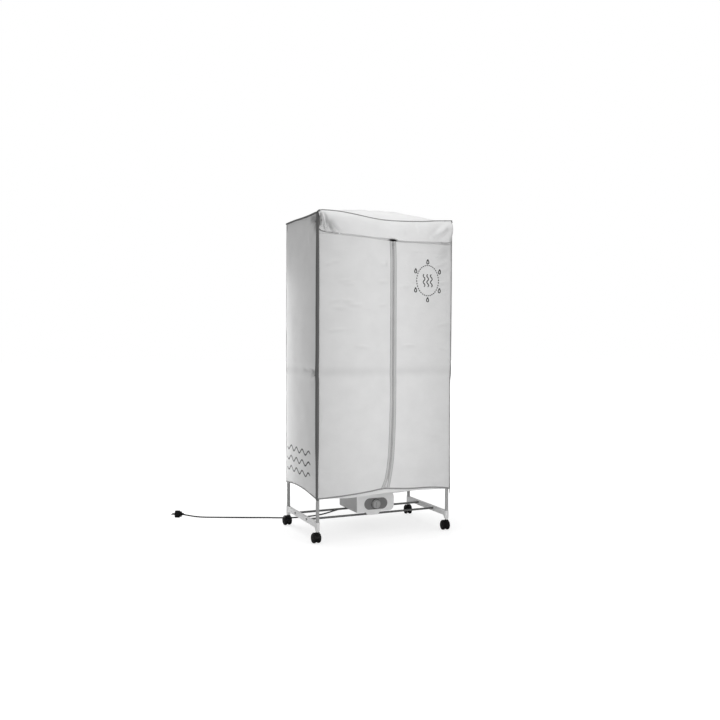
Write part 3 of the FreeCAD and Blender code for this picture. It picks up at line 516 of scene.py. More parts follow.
# the cover's edges: heights are read along the front (x) or a side (y), the zip and the waist up z
lines = {
    "frontSeam": (
        (-0.349, 1.4985), (-0.343, 1.5025), (-0.335, 1.5085), (-0.322, 1.5102), (-0.255, 1.5095),
        (-0.180, 1.5030), (-0.077, 1.4890), (-0.011, 1.4835), (0.089, 1.4845), (0.191, 1.4905),
        (0.260, 1.4975), (0.349, 1.5035),
    ),
    "frontHem": (
        (-0.349, 0.2040), (-0.300, 0.2050), (-0.174, 0.2120), (-0.090, 0.2200), (-0.004, 0.2290),
        (0.030, 0.2265), (0.131, 0.2200), (0.234, 0.2180), (0.310, 0.2110), (0.349, 0.2040),
    ),
    "sideHem": (
        (-0.212, 0.2040), (-0.185, 0.2085), (-0.130, 0.2165), (-0.060, 0.2245), (0.040, 0.2290),
        (0.140, 0.2245), (0.212, 0.2180),
    ),
    "backHem": ((-0.349, 0.2180), (0.0, 0.2280), (0.349, 0.2180)),
    "sideTop": (
        (-0.212, 1.4970), (-0.180, 1.4975), (-0.143, 1.4962), (-0.080, 1.4957), (0.003, 1.4969),
        (0.059, 1.4984), (0.117, 1.4990), (0.212, 1.4985),
    ),
    "backTop": ((-0.349, 1.4990), (-0.180, 1.4900), (0.0, 1.4820), (0.180, 1.4890), (0.349, 1.4990)),
    "zip": (
        (0.229, -0.0040), (0.276, 0.0105), (0.390, 0.0262), (0.636, 0.0348), (0.800, 0.0345), (1.295, 0.0335),
        (1.386, 0.0300),
    ),
    "waist": (
        (0.200, 0.0), (0.300, -0.0026), (0.600, -0.0044), (0.740, -0.0040), (0.800, -0.0018), (1.050, 0.0),
        (1.500, 0.0),
    ),
    # the halves' tops and the header's lower edge part in a small dark slit over the zip
    "leftHalfTop": (
        (-0.349, 1.4060), (-0.250, 1.4045), (-0.150, 1.4010), (-0.040, 1.3935), (0.004, 1.3925),
        (0.018, 1.3892), (0.030, 1.3885),
    ),
    "rightHalfTop": ((0.030, 1.3885), (0.042, 1.3888), (0.056, 1.3892), (0.180, 1.3880), (0.349, 1.3895)),
    "headerLow": (
        (-0.349, 1.4063), (-0.250, 1.4048), (-0.150, 1.4013), (-0.040, 1.3939), (0.004, 1.3931),
        (0.018, 1.3975), (0.030, 1.3985), (0.042, 1.3975), (0.056, 1.3900), (0.180, 1.3883), (0.349, 1.3898),
    ),
}
frontCreases = (
    # from (x, z) to (x, z), height out of the cloth, width
    ((-0.33, 1.36, -0.20, 1.33), 0.0016, 0.020), ((-0.33, 1.30, -0.24, 1.31), -0.0012, 0.016),
    ((-0.30, 1.22, -0.12, 1.235), 0.0011, 0.014), ((-0.26, 1.13, -0.10, 1.12), -0.0010, 0.016),
    ((-0.20, 1.06, -0.05, 1.075), 0.0010, 0.013), ((-0.28, 0.98, -0.16, 0.97), 0.0011, 0.018),
    ((-0.12, 0.93, 0.01, 0.915), -0.0010, 0.016), ((-0.33, 0.83, -0.15, 0.845), 0.0012, 0.022),
    ((-0.30, 0.62, -0.10, 0.60), 0.0012, 0.024), ((-0.22, 0.50, -0.02, 0.52), -0.0010, 0.022),
    ((-0.31, 0.33, -0.17, 0.35), 0.0012, 0.020), ((-0.33, 0.25, -0.25, 0.28), 0.0014, 0.016),
    ((0.07, 1.33, 0.20, 1.35), -0.0012, 0.018), ((0.08, 1.24, 0.13, 1.20), 0.0012, 0.014),
    ((0.24, 1.29, 0.33, 1.26), 0.0014, 0.015), ((0.26, 1.15, 0.34, 1.17), -0.0012, 0.015),
    ((0.10, 1.05, 0.24, 1.06), 0.0010, 0.018), ((0.22, 0.93, 0.33, 0.90), 0.0013, 0.020),
    ((0.08, 0.86, 0.20, 0.84), -0.0009, 0.016), ((0.12, 0.65, 0.30, 0.66), 0.0012, 0.022),
    ((0.26, 0.52, 0.335, 0.50), 0.0016, 0.016), ((0.24, 0.40, 0.33, 0.43), 0.0013, 0.016),
    ((0.06, 0.34, 0.20, 0.32), 0.0011, 0.020), ((0.27, 0.24, 0.33, 0.27), 0.0014, 0.014),
)
frontWrinkles = (
    # small sharp ones, from (x, z) to (x, z)
    (-0.320, 1.270, -0.271, 1.281), (-0.281, 1.285, -0.237, 1.289), (-0.252, 1.198, -0.172, 1.206),
    (-0.232, 1.185, -0.157, 1.191), (-0.051, 1.198, 0.011, 1.207), (-0.300, 1.104, -0.232, 1.114),
    (-0.232, 1.113, -0.167, 1.105), (-0.285, 1.080, -0.207, 1.075), (-0.202, 1.093, -0.122, 1.090),
    (-0.050, 1.092, 0.010, 1.100), (-0.036, 1.282, 0.008, 1.285), (0.251, 1.278, 0.328, 1.310),
    (0.273, 1.260, 0.333, 1.279), (0.268, 1.202, 0.334, 1.214), (0.284, 1.178, 0.334, 1.187),
    (0.296, 1.152, 0.334, 1.170), (0.062, 1.181, 0.132, 1.193), (0.264, 1.001, 0.335, 1.016),
    (-0.304, 0.971, -0.211, 0.981), (-0.176, 0.904, -0.075, 0.895), (0.070, 0.904, 0.156, 0.909),
    (0.275, 0.900, 0.336, 0.885), (0.256, 1.321, 0.333, 1.349),
)
frontFolds = frontCreases + tuple((run, 0.0012, 0.0050) for run in frontWrinkles)
frontPaintedShading = (
    # painted shade where the front is pulled in under the flap and beside the zip: run, width, how much
    # darker
    ((0.285, 1.3700, 0.330, 1.3350), 0.034, 0.12), ((-0.012, 1.2830, 0.006, 1.2830), 0.012, 0.10),
)
# each small wrinkle gets a painted highlight along its crest, and painted shade just below it
frontPaintedShading += tuple((run, 0.0075, -0.030) for run in frontWrinkles)
frontPaintedShading += tuple(((a, b - 0.0110, c, d - 0.0110), 0.0080, 0.050) for a, b, c, d in frontWrinkles)
sideCreases = (
    # from (y, z) to (y, z), height out of the cloth, width
    ((-0.205, 1.492, -0.140, 1.482), -0.0070, 0.006), ((-0.205, 1.484, -0.135, 1.458), -0.0080, 0.006),
    ((-0.205, 1.474, -0.150, 1.430), -0.0080, 0.006), ((-0.203, 1.462, -0.176, 1.408), -0.0070, 0.006),
    ((-0.206, 1.448, -0.196, 1.392), -0.0060, 0.006), ((-0.120, 1.430, -0.140, 1.360), 0.0040, 0.016),
    ((-0.206, 0.788, -0.130, 0.792), -0.0060, 0.005), ((-0.206, 0.778, -0.110, 0.780), -0.0080, 0.006),
    ((-0.206, 0.768, -0.150, 0.756), -0.0070, 0.005), ((-0.204, 0.752, -0.190, 0.726), -0.0060, 0.006),
    ((-0.110, 0.780, -0.060, 0.786), -0.0050, 0.010), ((-0.175, 0.730, -0.120, 0.726), 0.0040, 0.018),
    ((-0.17, 0.73, -0.02, 0.745), 0.0016, 0.018), ((0.02, 0.79, 0.18, 0.77), -0.0014, 0.016),
    ((-0.16, 1.25, 0.02, 1.22), 0.0012, 0.022), ((-0.05, 1.05, 0.15, 1.08), -0.0012, 0.026),
    ((-0.18, 0.95, -0.02, 0.98), 0.0012, 0.022), ((-0.14, 0.55, 0.08, 0.52), 0.0014, 0.026),
    ((0.02, 0.40, 0.18, 0.42), -0.0012, 0.024), ((-0.19, 0.30, -0.06, 0.33), 0.0016, 0.018),
    ((0.10, 1.40, 0.19, 1.36), 0.0016, 0.018),
)
sidePaintedShade = (
    # painted shade where the corner joints press: from (y, z) to (y, z), width, how much darker
    ((-0.150, 1.4760, -0.190, 1.4690), 0.022, 0.46), ((-0.200, 1.4780, -0.196, 1.4330), 0.019, 0.60),
    ((-0.050, 0.7847, -0.120, 0.7806), 0.008, 0.08), ((-0.150, 0.7790, -0.197, 0.7730), 0.012, 0.50),
    ((-0.203, 0.7770, -0.204, 0.7380), 0.008, 0.50),
)
flapPaintedShade = (
    # painted shade of the bunched left end: from (x, z) to (x, z), width, how much darker
    ((-0.3349, 1.4916, -0.3304, 1.4629), 0.0034, 0.40), ((-0.3304, 1.4629, -0.3350, 1.4447), 0.0034, 0.45),
    ((-0.3361, 1.4416, -0.3279, 1.4385), 0.0034, 0.65), ((-0.3279, 1.4385, -0.3173, 1.4325), 0.0034, 0.68),
    ((-0.3173, 1.4325, -0.3192, 1.4257), 0.0034, 0.55), ((-0.3370, 1.4232, -0.3173, 1.4182), 0.0048, 0.80),
    ((-0.2900, 1.4536, -0.2700, 1.4166), 0.0150, 0.24), ((-0.3070, 1.4595, -0.2850, 1.4319), 0.0110, 0.20),
    ((-0.3144, 1.4135, -0.2500, 1.4085), 0.0050, 0.35),
    # and painted shade of the slack right end
    ((0.2410, 1.4177, 0.3075, 1.4585), 0.0090, 0.15), ((0.3325, 1.4071, 0.3436, 1.4421), 0.0045, 0.25),
    ((0.2850, 1.3945, 0.3325, 1.3945), 0.0050, 0.30),
)


def billow(across, half, up):
    # cloth blown out a little between the poles, and held in along the rails at mid height
    t = min(1.0, abs(across) / half)
    held = 1 - math.exp(-(((up - cover["railHigh"]) / cover["railReach"]) ** 2)) * cover["railHolds"]
    top = clamped((cover["cornerHigh"] - up) / cover["endFade"])
    foot = clamped((up - cover["footHigh"]) / cover["endFade"])
    return (1 - t ** cover["puffPower"]) * held * (top * foot)


def turned(place, turn):
    # how far an edge turns in round its pole: from where, over how far, and by how much there
    start, over, deep = turn
    return deep * max(0.0, (place - start) / over) ** 2


frontCloth = {
    # a ripple is its scale, its height and its seed
    "out": 0.2126, "puff": 0.0095, "creasing": 1.6, "turn": (0.331, 0.018, 0.0028),
    "ripple": (0.075, 0.0010, 3.1), "fineRipple": (0.030, 0.0005, 7.7), "fineAcross": 0.6, "fineUp": 1.6,
    # the stiff zip holds this share of the puff and the creases, fading over this reach
    "zipHolds": 0.78, "zipReach": 0.060,
}
sideCloth = {
    "out": 0.3474, "puff": 0.0080, "rearTurn": (0.180, 0.032, 0.0024), "nearTurn": (0.204, 0.008, 0.0012),
    "rippleScale": 0.07, "rippleHigh": 0.0009, "seeds": {"left": 5.3, "right": 9.1},
    # the right side is drawn in at its waist, less and less towards the back
    "waistShare": 0.4, "waistEnd": 0.10, "waistFade": 0.25,
    "across": ((-0.2118, -0.11, 0.2118), (40, 42)), "rising": ((0, 0.41, 0.47, 0.92, 1), (50, 26, 56, 40)),
    "hemHalf": 0.2115,
}
backCloth = {
    "out": 0.2122, "puff": 0.0080, "turn": (0.331, 0.018, 0.0040), "ripple": (0.09, 0.0014, 12.3),
    "half": 0.3468, "hemHalf": 0.3465,
}


def frontDepth(x, z):
    away = (x - smoothLine(lines["zip"], z)) / frontCloth["zipReach"]
    free = 1 - frontCloth["zipHolds"] * math.exp(-(away**2))
    edgeHolds = min(1.0, abs(x) / cover["halfAcross"]) ** 6
    out = frontCloth["puff"] * billow(x, cover["halfAcross"], z) * free
    out += frontCloth["creasing"] * creaseHeight(frontFolds, x, z) * (1 - edgeHolds) * free
    out += ripple(x, z, *frontCloth["ripple"])
    out += ripple(x * frontCloth["fineAcross"], z * frontCloth["fineUp"], *frontCloth["fineRipple"])
    return -(frontCloth["out"] + out) + turned(abs(x), frontCloth["turn"])


def sidePush(y, z, seed):
    out = sideCloth["puff"] * billow(y, cover["halfDeep"], z)
    out += creaseHeight(sideCreases, y, z)
    out += ripple(y, z, sideCloth["rippleScale"], sideCloth["rippleHigh"], seed)
    return sideCloth["out"] + out - turned(y, sideCloth["rearTurn"]) - turned(-y, sideCloth["nearTurn"])


def backDepth(x, z):
    out = backCloth["puff"] * billow(x, cover["halfAcross"], z) + ripple(x, z, *backCloth["ripple"])
    return backCloth["out"] + out - turned(abs(x), backCloth["turn"])


def makeHem(name, edge, outward, wide, body=None):
    # the bound lower edge of a panel
    raised = [Vector(point) + Vector((0, 0, cover["hemLift"])) for point in edge]
    across = 1 if outward[0] else 0
    return ribbon(name, raised, outward, wide, cover["hemThick"], finish["greyTrim"], body, across)


def makeSides():
    for name, sign in (("left", -1), ("right", 1)):
        def place(y, up):
            low, high = smoothLine(lines["sideHem"], y), smoothLine(lines["sideTop"], y)
            z = low + (high - low) * up
            drawn = 0.0
            if sign > 0:
                drawn = sideCloth["waistShare"] * smoothLine(lines["waist"], z)
                drawn *= clamped((sideCloth["waistEnd"] - y) / sideCloth["waistFade"])
            return (sign * (sidePush(y, z, sideCloth["seeds"][name]) + drawn), y, z)

        piece = sheetPiece(
            f"cover{name.title()}Side", chained(*sideCloth["across"]), chained(*sideCloth["rising"]), place,
            (sign, 0, 0), (1, 2),
        )
        paintLightAndShade(piece, sidePaintedShade, 1, 2)
        paint(piece, finish["coverCloth"], "frame")
        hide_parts(f"cover_{name}_side")
        edge = [place(y, 0) for y in spaced(-sideCloth["hemHalf"], sideCloth["hemHalf"], 40)]
        hem = makeHem(f"{name}SideHem", edge, (sign, 0, 0), cover["hemWide"], "frame")


def makeBack():
    def place(x, up):
        low, high = smoothLine(lines["backHem"], x), smoothLine(lines["backTop"], x)
        z = low + (high - low) * up
        return (x, backDepth(x, z), z)

    across = spaced(-backCloth["half"], backCloth["half"], 80)
    piece = sheetPiece("coverBack", across, spaced(0, 1, 150), place, (0, 1, 0), (0, 2))
    paint(piece, finish["coverCloth"], "frame")
    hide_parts("cover_back")
    edge = [place(x, 0) for x in spaced(-backCloth["hemHalf"], backCloth["hemHalf"], 50)]
    hem = makeHem("backHem", edge, (0, 1, 0), cover["hemWide"], "frame")


halves = {
    "outer": 0.3462, "zipGap": 0.0002, "acrossSteps": 72, "upSteps": 340, "crowding": 1.25,
    "startLow": 0.22, "startHigh": 1.39,  # heights that the search for each point starts from
    "hemWide": 0.0065, "hemSteps": 44,
}


def halfPlace(outer, topLine, gap):
    # one zipped half: from its outer edge to the bowed zip, and from the hem to its top edge
    def place(share, up):
        z = halves["startLow"] + (halves["startHigh"] - halves["startLow"]) * up
        for _ in range(3):
            zipX = smoothLine(lines["zip"], z) + gap
            edge = outer + (smoothLine(lines["waist"], z) if outer > 0 else 0)
            x = edge + (zipX - edge) * share
            low, high = smoothLine(lines["frontHem"], x), smoothLine(lines[topLine], x)
            z = low + (high - low) * up
        return (x, frontDepth(x, z), z)
    return place


def easeOut(count):
    # stations that crowd towards the outer edge, where the cloth bends round its pole
    return [(step / count) ** halves["crowding"] for step in range(count + 1)]


def makeHalf(name, outer, topLine, gap):
    place = halfPlace(outer, topLine, gap)
    across, rising = easeOut(halves["acrossSteps"]), spaced(0, 1, halves["upSteps"])
    piece = sheetPiece(f"front{name}", across, rising, place, (0, -1, 0), (0, 2))
    paintLightAndShade(piece, frontPaintedShading, 0, 2, taper=1.0)
    paint(piece, finish["coverCloth"])
    edge = [place(share, 0) for share in spaced(0.0, 1.0, halves["hemSteps"])]
    hem = makeHem(f"front{name}Hem", edge, (0, -1, 0), halves["hemWide"])
    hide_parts(f"front_panel_{name.lower()}")
    for cloth in (piece, hem):
        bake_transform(cloth)
    return piece, hem


zipper = {
    "coilEnd": 0.276, "top": 1.3885, "foot": 0.231,
    "tapeHalf": 0.017, "tapeThick": 0.0009, "tapeTrim": 0.0012, "tapeGap": 0.0007, "tapeLift": 0.0001,
    # the tapes part below the coil, by this much over this height
    "partBy": 0.0055, "partOver": 0.05,
    "seams": (0.0035, 0.0140), "seamOut": 0.0009, "seamWide": 0.0012, "seamThick": 0.0004,
    "pitch": 0.0024, "tooth": 0.0026, "toothDeep": 0.0016, "toothShare": 0.62, "toothRound": 0.0004,
    "coilAside": 0.0011, "coilOut": 0.0016,
}


def makeZipTapes():
    tapes = []
    for name, sign, body in (("Left", -1, "left_half"), ("Right", 1, "right_half")):
        points = []
        for step in spaced(0, 1, 110):
            z = zipper["foot"] + (zipper["top"] - zipper["foot"]) * step
            spread = zipper["partBy"] * max(0.0, (zipper["coilEnd"] - z) / zipper["partOver"])
            x = smoothLine(lines["zip"], z) + sign * (zipper["tapeGap"] + spread + zipper["tapeHalf"] / 2)
            points.append((x, frontDepth(x, z), z))
        wide = zipper["tapeHalf"] - zipper["tapeTrim"]
        made = [ribbon(
            f"zipTape{name}", points, (0, -1, 0), wide, zipper["tapeThick"], finish["zipTape"], body,
            lift=zipper["tapeLift"],
        )]
        for index, offset in enumerate(zipper["seams"]):
            aside = sign * (offset - zipper["tapeHalf"] / 2)
            line = [(x + aside, y - zipper["seamOut"], z) for x, y, z in points]
            made.append(ribbon(
                f"zipSeam{name}{index}", line, (0, -1, 0), zipper["seamWide"], zipper["seamThick"],
                finish["greyTrim"], body,
            ))
        tapes.append(made)
    return tapes


def makeZipCoil():
    # one tooth is modelled, and then repeated up each side of the zip
    bpy.ops.mesh.primitive_cube_add(size=1)
    tooth = bpy.context.object
    tooth.scale = (zipper["tooth"], zipper["toothDeep"], zipper["pitch"] * zipper["toothShare"])
    bpy.ops.object.transform_apply(location=False, rotation=False, scale=True)
    useModifier(tooth, "BEVEL", width=zipper["toothRound"], segments=1)
    shape = bmesh.new()
    shape.from_mesh(tooth.data)
    count = int((zipper["top"] - zipper["coilEnd"]) / zipper["pitch"])
    for name, sign, body in (("Left", -1, "left_half"), ("Right", 1, "right_half")):
        chain = bmesh.new()
        for step in range(count):
            z = zipper["coilEnd"] + (step + (0.5 if sign > 0 else 0.0)) * zipper["pitch"]
            x = smoothLine(lines["zip"], z) + sign * zipper["coilAside"]
            spot = Vector((x, frontDepth(x, z) - zipper["coilOut"], z))
            copied = {}
            for vertex in shape.verts:
                copied[vertex] = chain.verts.new(vertex.co + spot)
            for face in shape.faces:
                chain.faces.new([copied[vertex] for vertex in face.verts])
        mesh = bpy.data.meshes.new(f"zipCoil{name}")
        chain.to_mesh(mesh)
        chain.free()
        piece = bpy.data.objects.new(f"zipCoil{name}", mesh)
        bpy.context.collection.objects.link(piece)
        tidyUp(piece, 30)
        paint(piece, finish["zipCoil"], body)
    shape.free()
    bpy.data.objects.remove(tooth)


header = {"across": ((-0.3462, -0.02, 0.08, 0.3462), (38, 26, 32)), "upSteps": 16, "belowSeam": 0.002}


def makeHeader():
    def place(x, up):
        low = smoothLine(lines["headerLow"], x)
        high = smoothLine(lines["frontSeam"], x) - header["belowSeam"]
        z = low + (high - low) * up
        return (x, frontDepth(x, z), z)

    across, rising = chained(*header["across"]), spaced(0, 1, header["upSteps"])
    piece = sheetPiece("coverHeader", across, rising, place, (0, -1, 0), (0, 2))
    paint(piece, finish["coverCloth"], "frame")
    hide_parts("cover_header")


roof = {
    "half": 0.3486, "acrossSteps": 100, "near": -0.2122, "deep": 0.4242, "deepSteps": 64,
    # how the arch falls to the sides, how the rim follows the seams, and where the creases calm down
    "front": -0.2124, "whole": 0.4244, "archPower": 2.2, "rimReach": 0.035, "calmReach": 0.12,
    "ripple": (0.06, 0.0022, 4.4),
    "middle": (
        (-0.2124, 1.4845), (-0.196, 1.5050), (-0.160, 1.5300), (-0.100, 1.5450), (-0.020, 1.5505),
        (0.070, 1.5470), (0.140, 1.5340), (0.190, 1.5080), (0.2120, 1.4840),
    ),
    "creases": (
        # from (x, y) to (x, y), height, width
        ((-0.30, -0.18, -0.12, -0.05), 0.0030, 0.022), ((-0.26, 0.16, -0.10, 0.06), 0.0026, 0.022),
        ((0.30, -0.17, 0.14, -0.06), 0.0030, 0.022), ((0.28, 0.15, 0.12, 0.05), 0.0024, 0.022),
        ((-0.06, -0.19, -0.02, -0.06), -0.0022, 0.020), ((0.10, -0.19, 0.07, -0.08), 0.0020, 0.018),
        ((-0.16, -0.02, 0.18, 0.00), 0.0018, 0.030),
    ),
}


def roofHeight(x, y):
    middle = smoothLine(roof["middle"], y)
    front, back = smoothLine(lines["frontSeam"], x), smoothLine(lines["backTop"], x)
    share = (y - roof["front"]) / roof["whole"]
    side = smoothLine(lines["sideTop"], y)
    t = min(1.0, abs(x) / cover["halfAcross"])
    arch = side + (middle - side) * (1 - t ** roof["archPower"])
    rim = min(share, 1 - share)
    edge = front + (back - front) * share
    keep = math.exp(-rim / roof["rimReach"])
    height = arch * (1 - keep) + min(arch, edge) * keep
    calm = min(1.0, rim / roof["calmReach"]) * (1 - t**6)
    return height + (creaseHeight(roof["creases"], x, y) + ripple(x, y, *roof["ripple"])) * calm


def makeRoof():
    def place(x, y):
        return (x, y, roofHeight(x, y))

    # stations that crowd towards the front and the back edge
    turns = [math.pi * step / roof["deepSteps"] for step in range(roof["deepSteps"] + 1)]
    stations = [roof["near"] + roof["deep"] * (0.5 - 0.5 * math.cos(turn)) for turn in turns]
    across = spaced(-roof["half"], roof["half"], roof["acrossSteps"])
    piece = sheetPiece("coverRoof", across, stations, place, (0, 0, 1), (0, 1))
    paint(piece, finish["clothPaintedLighter"], "frame")
    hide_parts("cover_roof")


flap = {
    # across, then the hem's height, how far the flap bulges, and how far its hem stands out
    "hem": (
        (-0.349, 1.4220), (-0.335, 1.4160), (-0.318, 1.4125), (-0.290, 1.4095), (-0.255, 1.4075),
        (-0.200, 1.4075), (-0.150, 1.4040), (-0.080, 1.3990), (-0.020, 1.3965), (0.008, 1.3970),
        (0.020, 1.3990), (0.038, 1.3990), (0.050, 1.3945), (0.060, 1.3905), (0.150, 1.3900), (0.255, 1.3935),
        (0.311, 1.3925), (0.338, 1.4010), (0.352, 1.4170),
    ),
    "bulge": (
        (-0.349, 0.004), (-0.325, 0.015), (-0.290, 0.024), (-0.220, 0.019), (-0.100, 0.013), (0.0, 0.012),
        (0.220, 0.014), (0.330, 0.017), (0.352, 0.010),
    ),
    "stand": (
        (-0.349, 0.000), (-0.320, 0.000), (-0.270, 0.001), (-0.150, 0.005), (0.100, 0.006), (0.320, 0.007),
        (0.352, 0.003),
    ),
    "creases": (
        # from (x, share down) to (x, share down), height, width
        ((-0.339, 0.15, -0.334, 0.70), -0.0130, 0.0045), ((-0.329, 0.30, -0.320, 0.85), -0.0130, 0.0045),
        ((-0.318, 0.20, -0.306, 0.75), -0.0120, 0.0045), ((-0.341, 0.86, -0.312, 0.90), -0.0150, 0.005),
        ((-0.338, 0.72, -0.306, 0.80), -0.0120, 0.004), ((-0.305, 0.55, -0.278, 0.90), -0.0130, 0.0060),
        ((-0.288, 0.62, -0.240, 0.93), -0.0130, 0.0085), ((-0.225, 0.30, -0.200, 0.90), 0.0022, 0.018),
        ((-0.150, 0.05, -0.130, 0.70), -0.0015, 0.018), ((-0.075, 0.10, -0.060, 0.80), 0.0016, 0.016),
        ((0.000, 0.02, 0.010, 0.50), -0.0014, 0.016), ((0.075, 0.30, 0.082, 0.95), 0.0022, 0.013),
        ((0.140, 0.05, 0.150, 0.60), -0.0030, 0.010), ((0.215, 0.75, 0.290, 0.15), -0.0050, 0.013),
        ((0.235, 0.90, 0.318, 0.25), 0.0050, 0.012), ((0.262, 0.98, 0.335, 0.45), -0.0040, 0.011),
        ((0.335, 0.05, 0.345, 0.60), 0.0030, 0.010),
    ),
    "out": 0.2128, "lift": 0.0020, "belowSeam": 0.0005, "bulgeAt": 0.80, "standPower": 1.4,
    "depth": 0.10,  # creases are laid out on a strip as deep as the flap
    "creaseFade": 6, "ripple": (0.035, 0.0011, 2.2), "rippleFade": 5,
    # the right end wraps round the corner
    "corner": 0.336, "wrapBack": 0.25, "wrapSwell": 0.004, "wrapIn": 30,
    # the left end is drawn in
    "drawnFrom": -0.325, "drawnOver": 0.0215, "drawnBy": 0.0020, "drawnSwell": 0.0080, "drawnShare": 0.85,
    "across": ((-0.3465, -0.23, 0.352), (70, 160)), "downSteps": 44,
    "hemOut": 0.0002, "hemLift": 0.0022, "hemWide": 0.0055, "hemThick": 0.0009,
    "bindingTo": 0.72, "bindingWide": 0.0030, "bindingThick": 0.0012,
}


def flapPoint(x, share):
    high, low = smoothLine(lines["frontSeam"], x) - flap["belowSeam"], smoothLine(flap["hem"], x)
    z = high + (low - high) * share
    depth = flap["depth"]
    down = share * depth
    creases = [((a, b * depth, c, d * depth), *size) for (a, b, c, d), *size in flap["creases"]]
    out = flap["lift"] + smoothLine(flap["bulge"], x) * math.sin(math.pi * min(1.0, share) ** flap["bulgeAt"])
    out += smoothLine(flap["stand"], x) * share ** flap["standPower"]
    out += creaseHeight(creases, x, down) * min(1.0, share * flap["creaseFade"])
    out += ripple(x, down, *flap["ripple"]) * min(1.0, share * flap["rippleFade"])
    wrap = max(0.0, x - flap["corner"])
    drawn = max(0.0, (flap["drawnFrom"] - x) / flap["drawnOver"])
    swell = math.sin(math.pi * min(1.0, share * flap["drawnShare"]))
    x += drawn * (flap["drawnBy"] + flap["drawnSwell"] * swell)
    x -= wrap * flap["wrapBack"]
    if wrap:
        x += flap["wrapSwell"] * math.sin(math.pi * share)
    return Vector((x, wrap**2 * flap["wrapIn"] - (flap["out"] + out), z))


def makeFlap():
    stations = chained(*flap["across"])
    piece = sheetPiece("coverFlap", stations, spaced(0, 1, flap["downSteps"]), flapPoint, (0, -1, 0), (0, 2))
    paintLightAndShade(piece, flapPaintedShade, 0, 2)
    paint(piece, finish["clothPaintedLighter"])
    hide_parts("cover_flap")
    edge = [flapPoint(x, 1.0) + Vector((0, -flap["hemOut"], flap["hemLift"])) for x in stations[::2]]
    hem = ribbon("flapHem", edge, (0, -1, 0), flap["hemWide"], flap["hemThick"], finish["paleTrim"])
    paintLightAndShade(hem, flapPaintedShade, 0, 2)
    # painted shade: the flap's left-end binding is painted dark for the shade of the folds there
    leftEnd = [flapPoint(stations[0], share) for share in spaced(0, flap["bindingTo"], 24)]
    binding = ribbon(
        "flapBinding", leftEnd, (0, -1, 0), flap["bindingWide"], flap["bindingThick"], finish["trimPaintedDarker"])
    for cloth in (piece, hem, binding):
        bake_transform(cloth)


floorSag = {
    # across, then its height at the front, the middle and the back
    "front": (
        (-0.3465, 0.206), (-0.250, 0.203), (-0.180, 0.200), (0.0, 0.208), (0.120, 0.212), (0.250, 0.209),
        (0.3465, 0.206),
    ),
    "middle": (
        (-0.3465, 0.231), (-0.250, 0.206), (-0.180, 0.190), (0.0, 0.182), (0.120, 0.185), (0.250, 0.207),
        (0.3465, 0.231),
    ),
    "back": ((-0.3465, 0.2215), (-0.170, 0.2275), (0.0, 0.2310), (0.170, 0.2275), (0.3465, 0.2215)),
    "half": 0.346, "far": 0.209, "deepHalf": 0.2095, "ripple": (0.07, 0.0030, 6.1),
    # the opening round the heater, the corners cut out for the poles, and what lies past the cloth there
    "hole": (-0.096, 0.104, -0.097, 0.152), "notch": (0.328, 0.191), "past": (0.35, 0.22),
    # the front edge turns up behind the hem of the front cloth
    "lip": -0.2094, "lipOver": 0.001, "lipOut": 0.0010, "lipShare": 0.6, "lipLow": 0.2080, "lipRise": 0.0030,
    # the seam round the opening, and the strip that closes it behind the heater
    "collarRadius": 0.0022, "rimSteps": 12, "skirtFrom": -0.020, "skirtDeep": 0.014, "mitre": 0.98,
}


def floorPoint(x, y):
    lip = floorSag["lip"]
    if y >= lip:
        return (x, y, floorHeight(x, y))
    risen = (lip - y) / floorSag["lipOver"]
    low = floorHeight(x, lip)
    high = max(smoothLine(lines["frontHem"], x), floorSag["lipLow"]) + floorSag["lipRise"]
    out = floorSag["lipOut"] * math.sin(math.pi * risen * floorSag["lipShare"])
    return (x, lip - out, low + (high - low) * risen)


def floorHeight(x, y):
    front, middle, back = (smoothLine(floorSag[name], x) for name in ("front", "middle", "back"))
    t = y / floorSag["deepHalf"]
    height = middle + (back - front) / 2 * t + ((front + back) / 2 - middle) * t**2
    return height + ripple(x, y, *floorSag["ripple"]) * (1 - abs(t) ** 4)


def walked(turns, steps):
    # points along straight stretches from turn to turn
    points = []
    for (x0, y0), (x1, y1) in zip(turns, turns[1:]):
        points += [(x0 + (x1 - x0) * t, y0 + (y1 - y0) * t) for t in spaced(0, 1, steps)[:-1]]
    return points + [turns[-1]]


def makeSkirt(left, right, far):
    # a strip that hangs from the rim round the rear of the heater, and closes the gap there
    start, deep = floorSag["skirtFrom"], floorSag["skirtDeep"]
    middle = ((left + right) / 2, far - (right - left) / 2)
    points, outwards = [], []
    for x, y in walked([(left, start), (left, far), (right, far), (right, start)], floorSag["rimSteps"]):
        points.append((x, y, floorHeight(x, y) - deep / 2))
        away = (x - middle[0], max(0.0, y - middle[1]))
        most = max(abs(away[0]), away[1]) * floorSag["mitre"]
        outwards.append([part if abs(part) > most else 0.0 for part in away] + [0.0])
    return ribbon("floorSkirt", points, outwards, deep, cover["thick"], finish["clothPaintedLighter"], "frame")


def makeFloor():
    left, right, near, far = floorSag["hole"]
    side, end = floorSag["notch"]
    half, lip = floorSag["half"], floorSag["lip"]
    pastSide, pastEnd = floorSag["past"]
    across = chained((-half, -side, left, right, side, half), (2, 24, 20, 24, 2))
    marks = (lip - floorSag["lipOver"], lip, -end, near, far, end, floorSag["far"])
    deep = chained(marks, (4, 3, 12, 24, 6, 2))
    corners = [
        (*sides, *ends)
        for sides in ((-pastSide, -side), (side, pastSide))
        for ends in ((-pastEnd, -end), (end, pastEnd))
    ]
    holes = [floorSag["hole"]] + corners
    piece = sheetPiece("coverFloor", across, deep, floorPoint, (0, 0, 1), (0, 1), holes)
    paint(piece, finish["clothPaintedLighter"], "frame")
    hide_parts("cover_floor")
    rim = walked([(left, near), (right, near), (right, far), (left, far), (left, near)], floorSag["rimSteps"])
    loop = [(x, y, floorHeight(x, y)) for x, y in rim]
    collar = piping("floorCollar", loop, floorSag["collarRadius"], finish["greyTrim"])
    skirt = makeSkirt(left, right, far)


